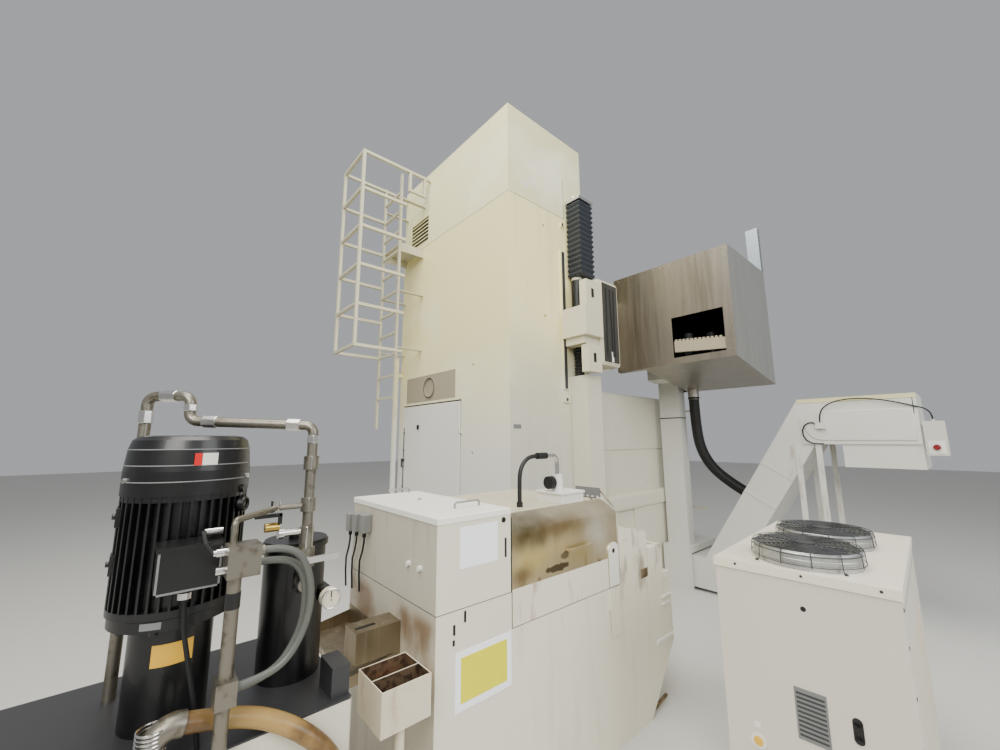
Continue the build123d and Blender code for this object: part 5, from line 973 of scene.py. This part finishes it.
drum = [(0.214, 1.2005), (0.222, 1.2005), (0.222, 1.236), (0.2235, 1.238),
        (0.2235, 1.244), (0.222, 1.246), (0.222, 1.270), (0.214, 1.278)]
spoke_path = [(0.035, 1.2815), (0.12, 1.2815), (0.215, 1.2815), (0.2255, 1.278), (0.2285, 1.265),
              (0.2305, 1.24), (0.232, 1.215), (0.238, 1.206), (0.249, 1.204)]
wires, drums = Shape(), Shape()
for offset in (0.395, -0.110):
    fan = (0, offset)
    drums.loops([[beside(*around(fan, r, a), z) for r, z in drum] for a in circle(64)], closed_rows=True)
    for level, radius in ((1.266, 0.2275), (1.222, 0.2315)):
        wires.ring(beside(*fan, level), up, radius, 0.0018, 64, 6)
    for ring in range(8):
        wires.ring(beside(*fan, 1.2845), up, 0.062 + ring * 0.0225, 0.0019, 56, 6)
    for spoke in range(12):
        a = math.radians(30 * spoke + 15)
        footed = spoke % 3 == 1
        path = spoke_path if footed else spoke_path[:-2]
        wires.wire([beside(*around(fan, r, a), z) for r, z in path], 0.0021, 6)
        if footed:
            x, y, z = beside(*around(fan, 0.2455, a), 1.2035)
            wires.ring((x, y, z), up, 0.0065, 0.0021, 20, 6)
            wires.rod((x, y, z), (x, y, 1.210), 0.0045, 6)
    wires.rod(beside(*fan, 1.278), beside(*fan, 1.2868), 0.044, 28)
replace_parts(drums.make("fan_drums", galvanised, "galvanised", smooth=True), "fan_guards")
wires.make("fan_wires", dark_grey, "fan_dark", smooth=True)


def turned_piece(name, look, slot_name, spans=(), bars=()):
    """Boxes and bars of the chiller's own frame as one piece."""
    shape = Shape()
    for span in spans:
        shape.box(*span)
    for start, stop, radius in bars:
        shape.rod(start, stop, radius, 20)
    shape.points = [beside(*point) for point in shape.points]
    return shape.make(name, look, slot_name, smooth=bool(bars))


end = 0.650


def disc(x, z, thick, radius):
    """A flat round part on the chiller's end."""
    return (x, end, z), (x, end + thick, z), radius


turned_piece("chiller_vent", mid_grey, "box_grey", [((-0.062, 0.054), (end, end + 0.003), (0.500, 0.707))])
slats = [0.515 + 0.0185 * k for k in range(10)]
turned_piece("vent_slats", dark_grey, "fan_dark", [
    ((-0.055, 0.047), (end + 0.003, end + 0.0042), (z, z + 0.008)) for z in slats
])
turned_piece("chiller_slot", deep_black, "fan_dark", [
    ((-0.175, -0.141), (end, end + 0.003), (0.586, 0.650)),
], [disc(-0.158, z, 0.003, 0.017) for z in (0.586, 0.650)])
turned_piece("chiller_knob", signal_yellow, "button_red", bars=[disc(0.216, 0.413, 0.006, 0.020)])
turned_piece("knob_collar", plain_white, "chiller_white", [
    ((0.203, 0.227), (end, end + 0.002), (0.468, 0.492)),
], [disc(0.216, 0.413, 0.0035, 0.031)])
turned_piece("chiller_chip", deep_black, "fan_dark", bars=[disc(-0.014, 1.043, 0.0012, 0.011)])
screws = [((x, end + 0.005, 1.184), (x, end + 0.0075, 1.184), 0.006) for x in (0.25, -0.02, -0.289)]
screws += [((-0.344, 0.615, z), (-0.3475, 0.615, z), 0.007) for z in (1.12, 0.98, 0.80, 0.62, 0.40)]
turned_piece("chiller_screws", dark_grey, "fan_dark", bars=screws)
turned_piece("chiller_seams", mid_grey, "fan_dark", [
    ((-0.345, 0.345), (end - 0.001, end + 0.0008), (0.1495, 0.1525)),
    ((-0.3458, -0.344), (-0.62, 0.585), (1.100, 1.1025)),
])

# Ribs of the conduit hose, at equal steps along its line

ribs = Shape()
walked = 0.0
target = 0.02
line = cord_lines["conduit_hose"]
for before, after in zip(line, line[1:]):
    gap = (after - before).length
    while target <= walked + gap:
        ribs.ring(before.lerp(after, (target - walked) / gap), after - before, 0.0595, 0.0045, 32, 6)
        target += 0.016
    walked += gap
ribs.make("conduit_ribs", hose_black, "hose_black", smooth=True)

# Floor, lights and the world behind

floor_mesh = bpy.data.meshes.new("floor")
floor_mesh.from_pydata([(-30, -30, 0), (30, -30, 0), (30, 30, 0), (-30, 30, 0)], [], [(0, 1, 2, 3)])
floor_mesh.materials.append(floor_grey.material)
floor = bpy.data.objects.new("floor", floor_mesh)
link(floor)


def light(name, spot, aim, size, power, colour):
    """A square soft light."""
    lamp = bpy.data.lights.new(name, "AREA")
    lamp.size = size
    lamp.energy = power
    lamp.color = colour
    holder = bpy.data.objects.new(name, lamp)
    link(holder)
    holder.location = spot
    holder.rotation_mode = "QUATERNION"
    holder.rotation_quaternion = (Vector(aim) - Vector(spot)).to_track_quat("-Z", "Y")


light("overhead", (-2.0, 4.5, 9.0), (-1.2, 1.6, 1.5), 5, 720, (1.0, 0.98, 0.92))
light("behind_camera", (-6.5, 8.0, 6.0), (-1.0, 2.0, 2.0), 4, 680, (1.0, 0.99, 0.95))
light("shaded_unit_side", (-8.5, 1.0, 4.5), (-1.5, 2.0, 1.5), 4, 290, (0.97, 0.98, 1.0))
world = bpy.data.worlds.new("world")
scene.world = world
world.use_nodes = True
sky = world.node_tree.nodes["Background"].inputs
sky["Color"].default_value = (0.90, 0.92, 0.95, 1)
sky["Strength"].default_value = 0.46
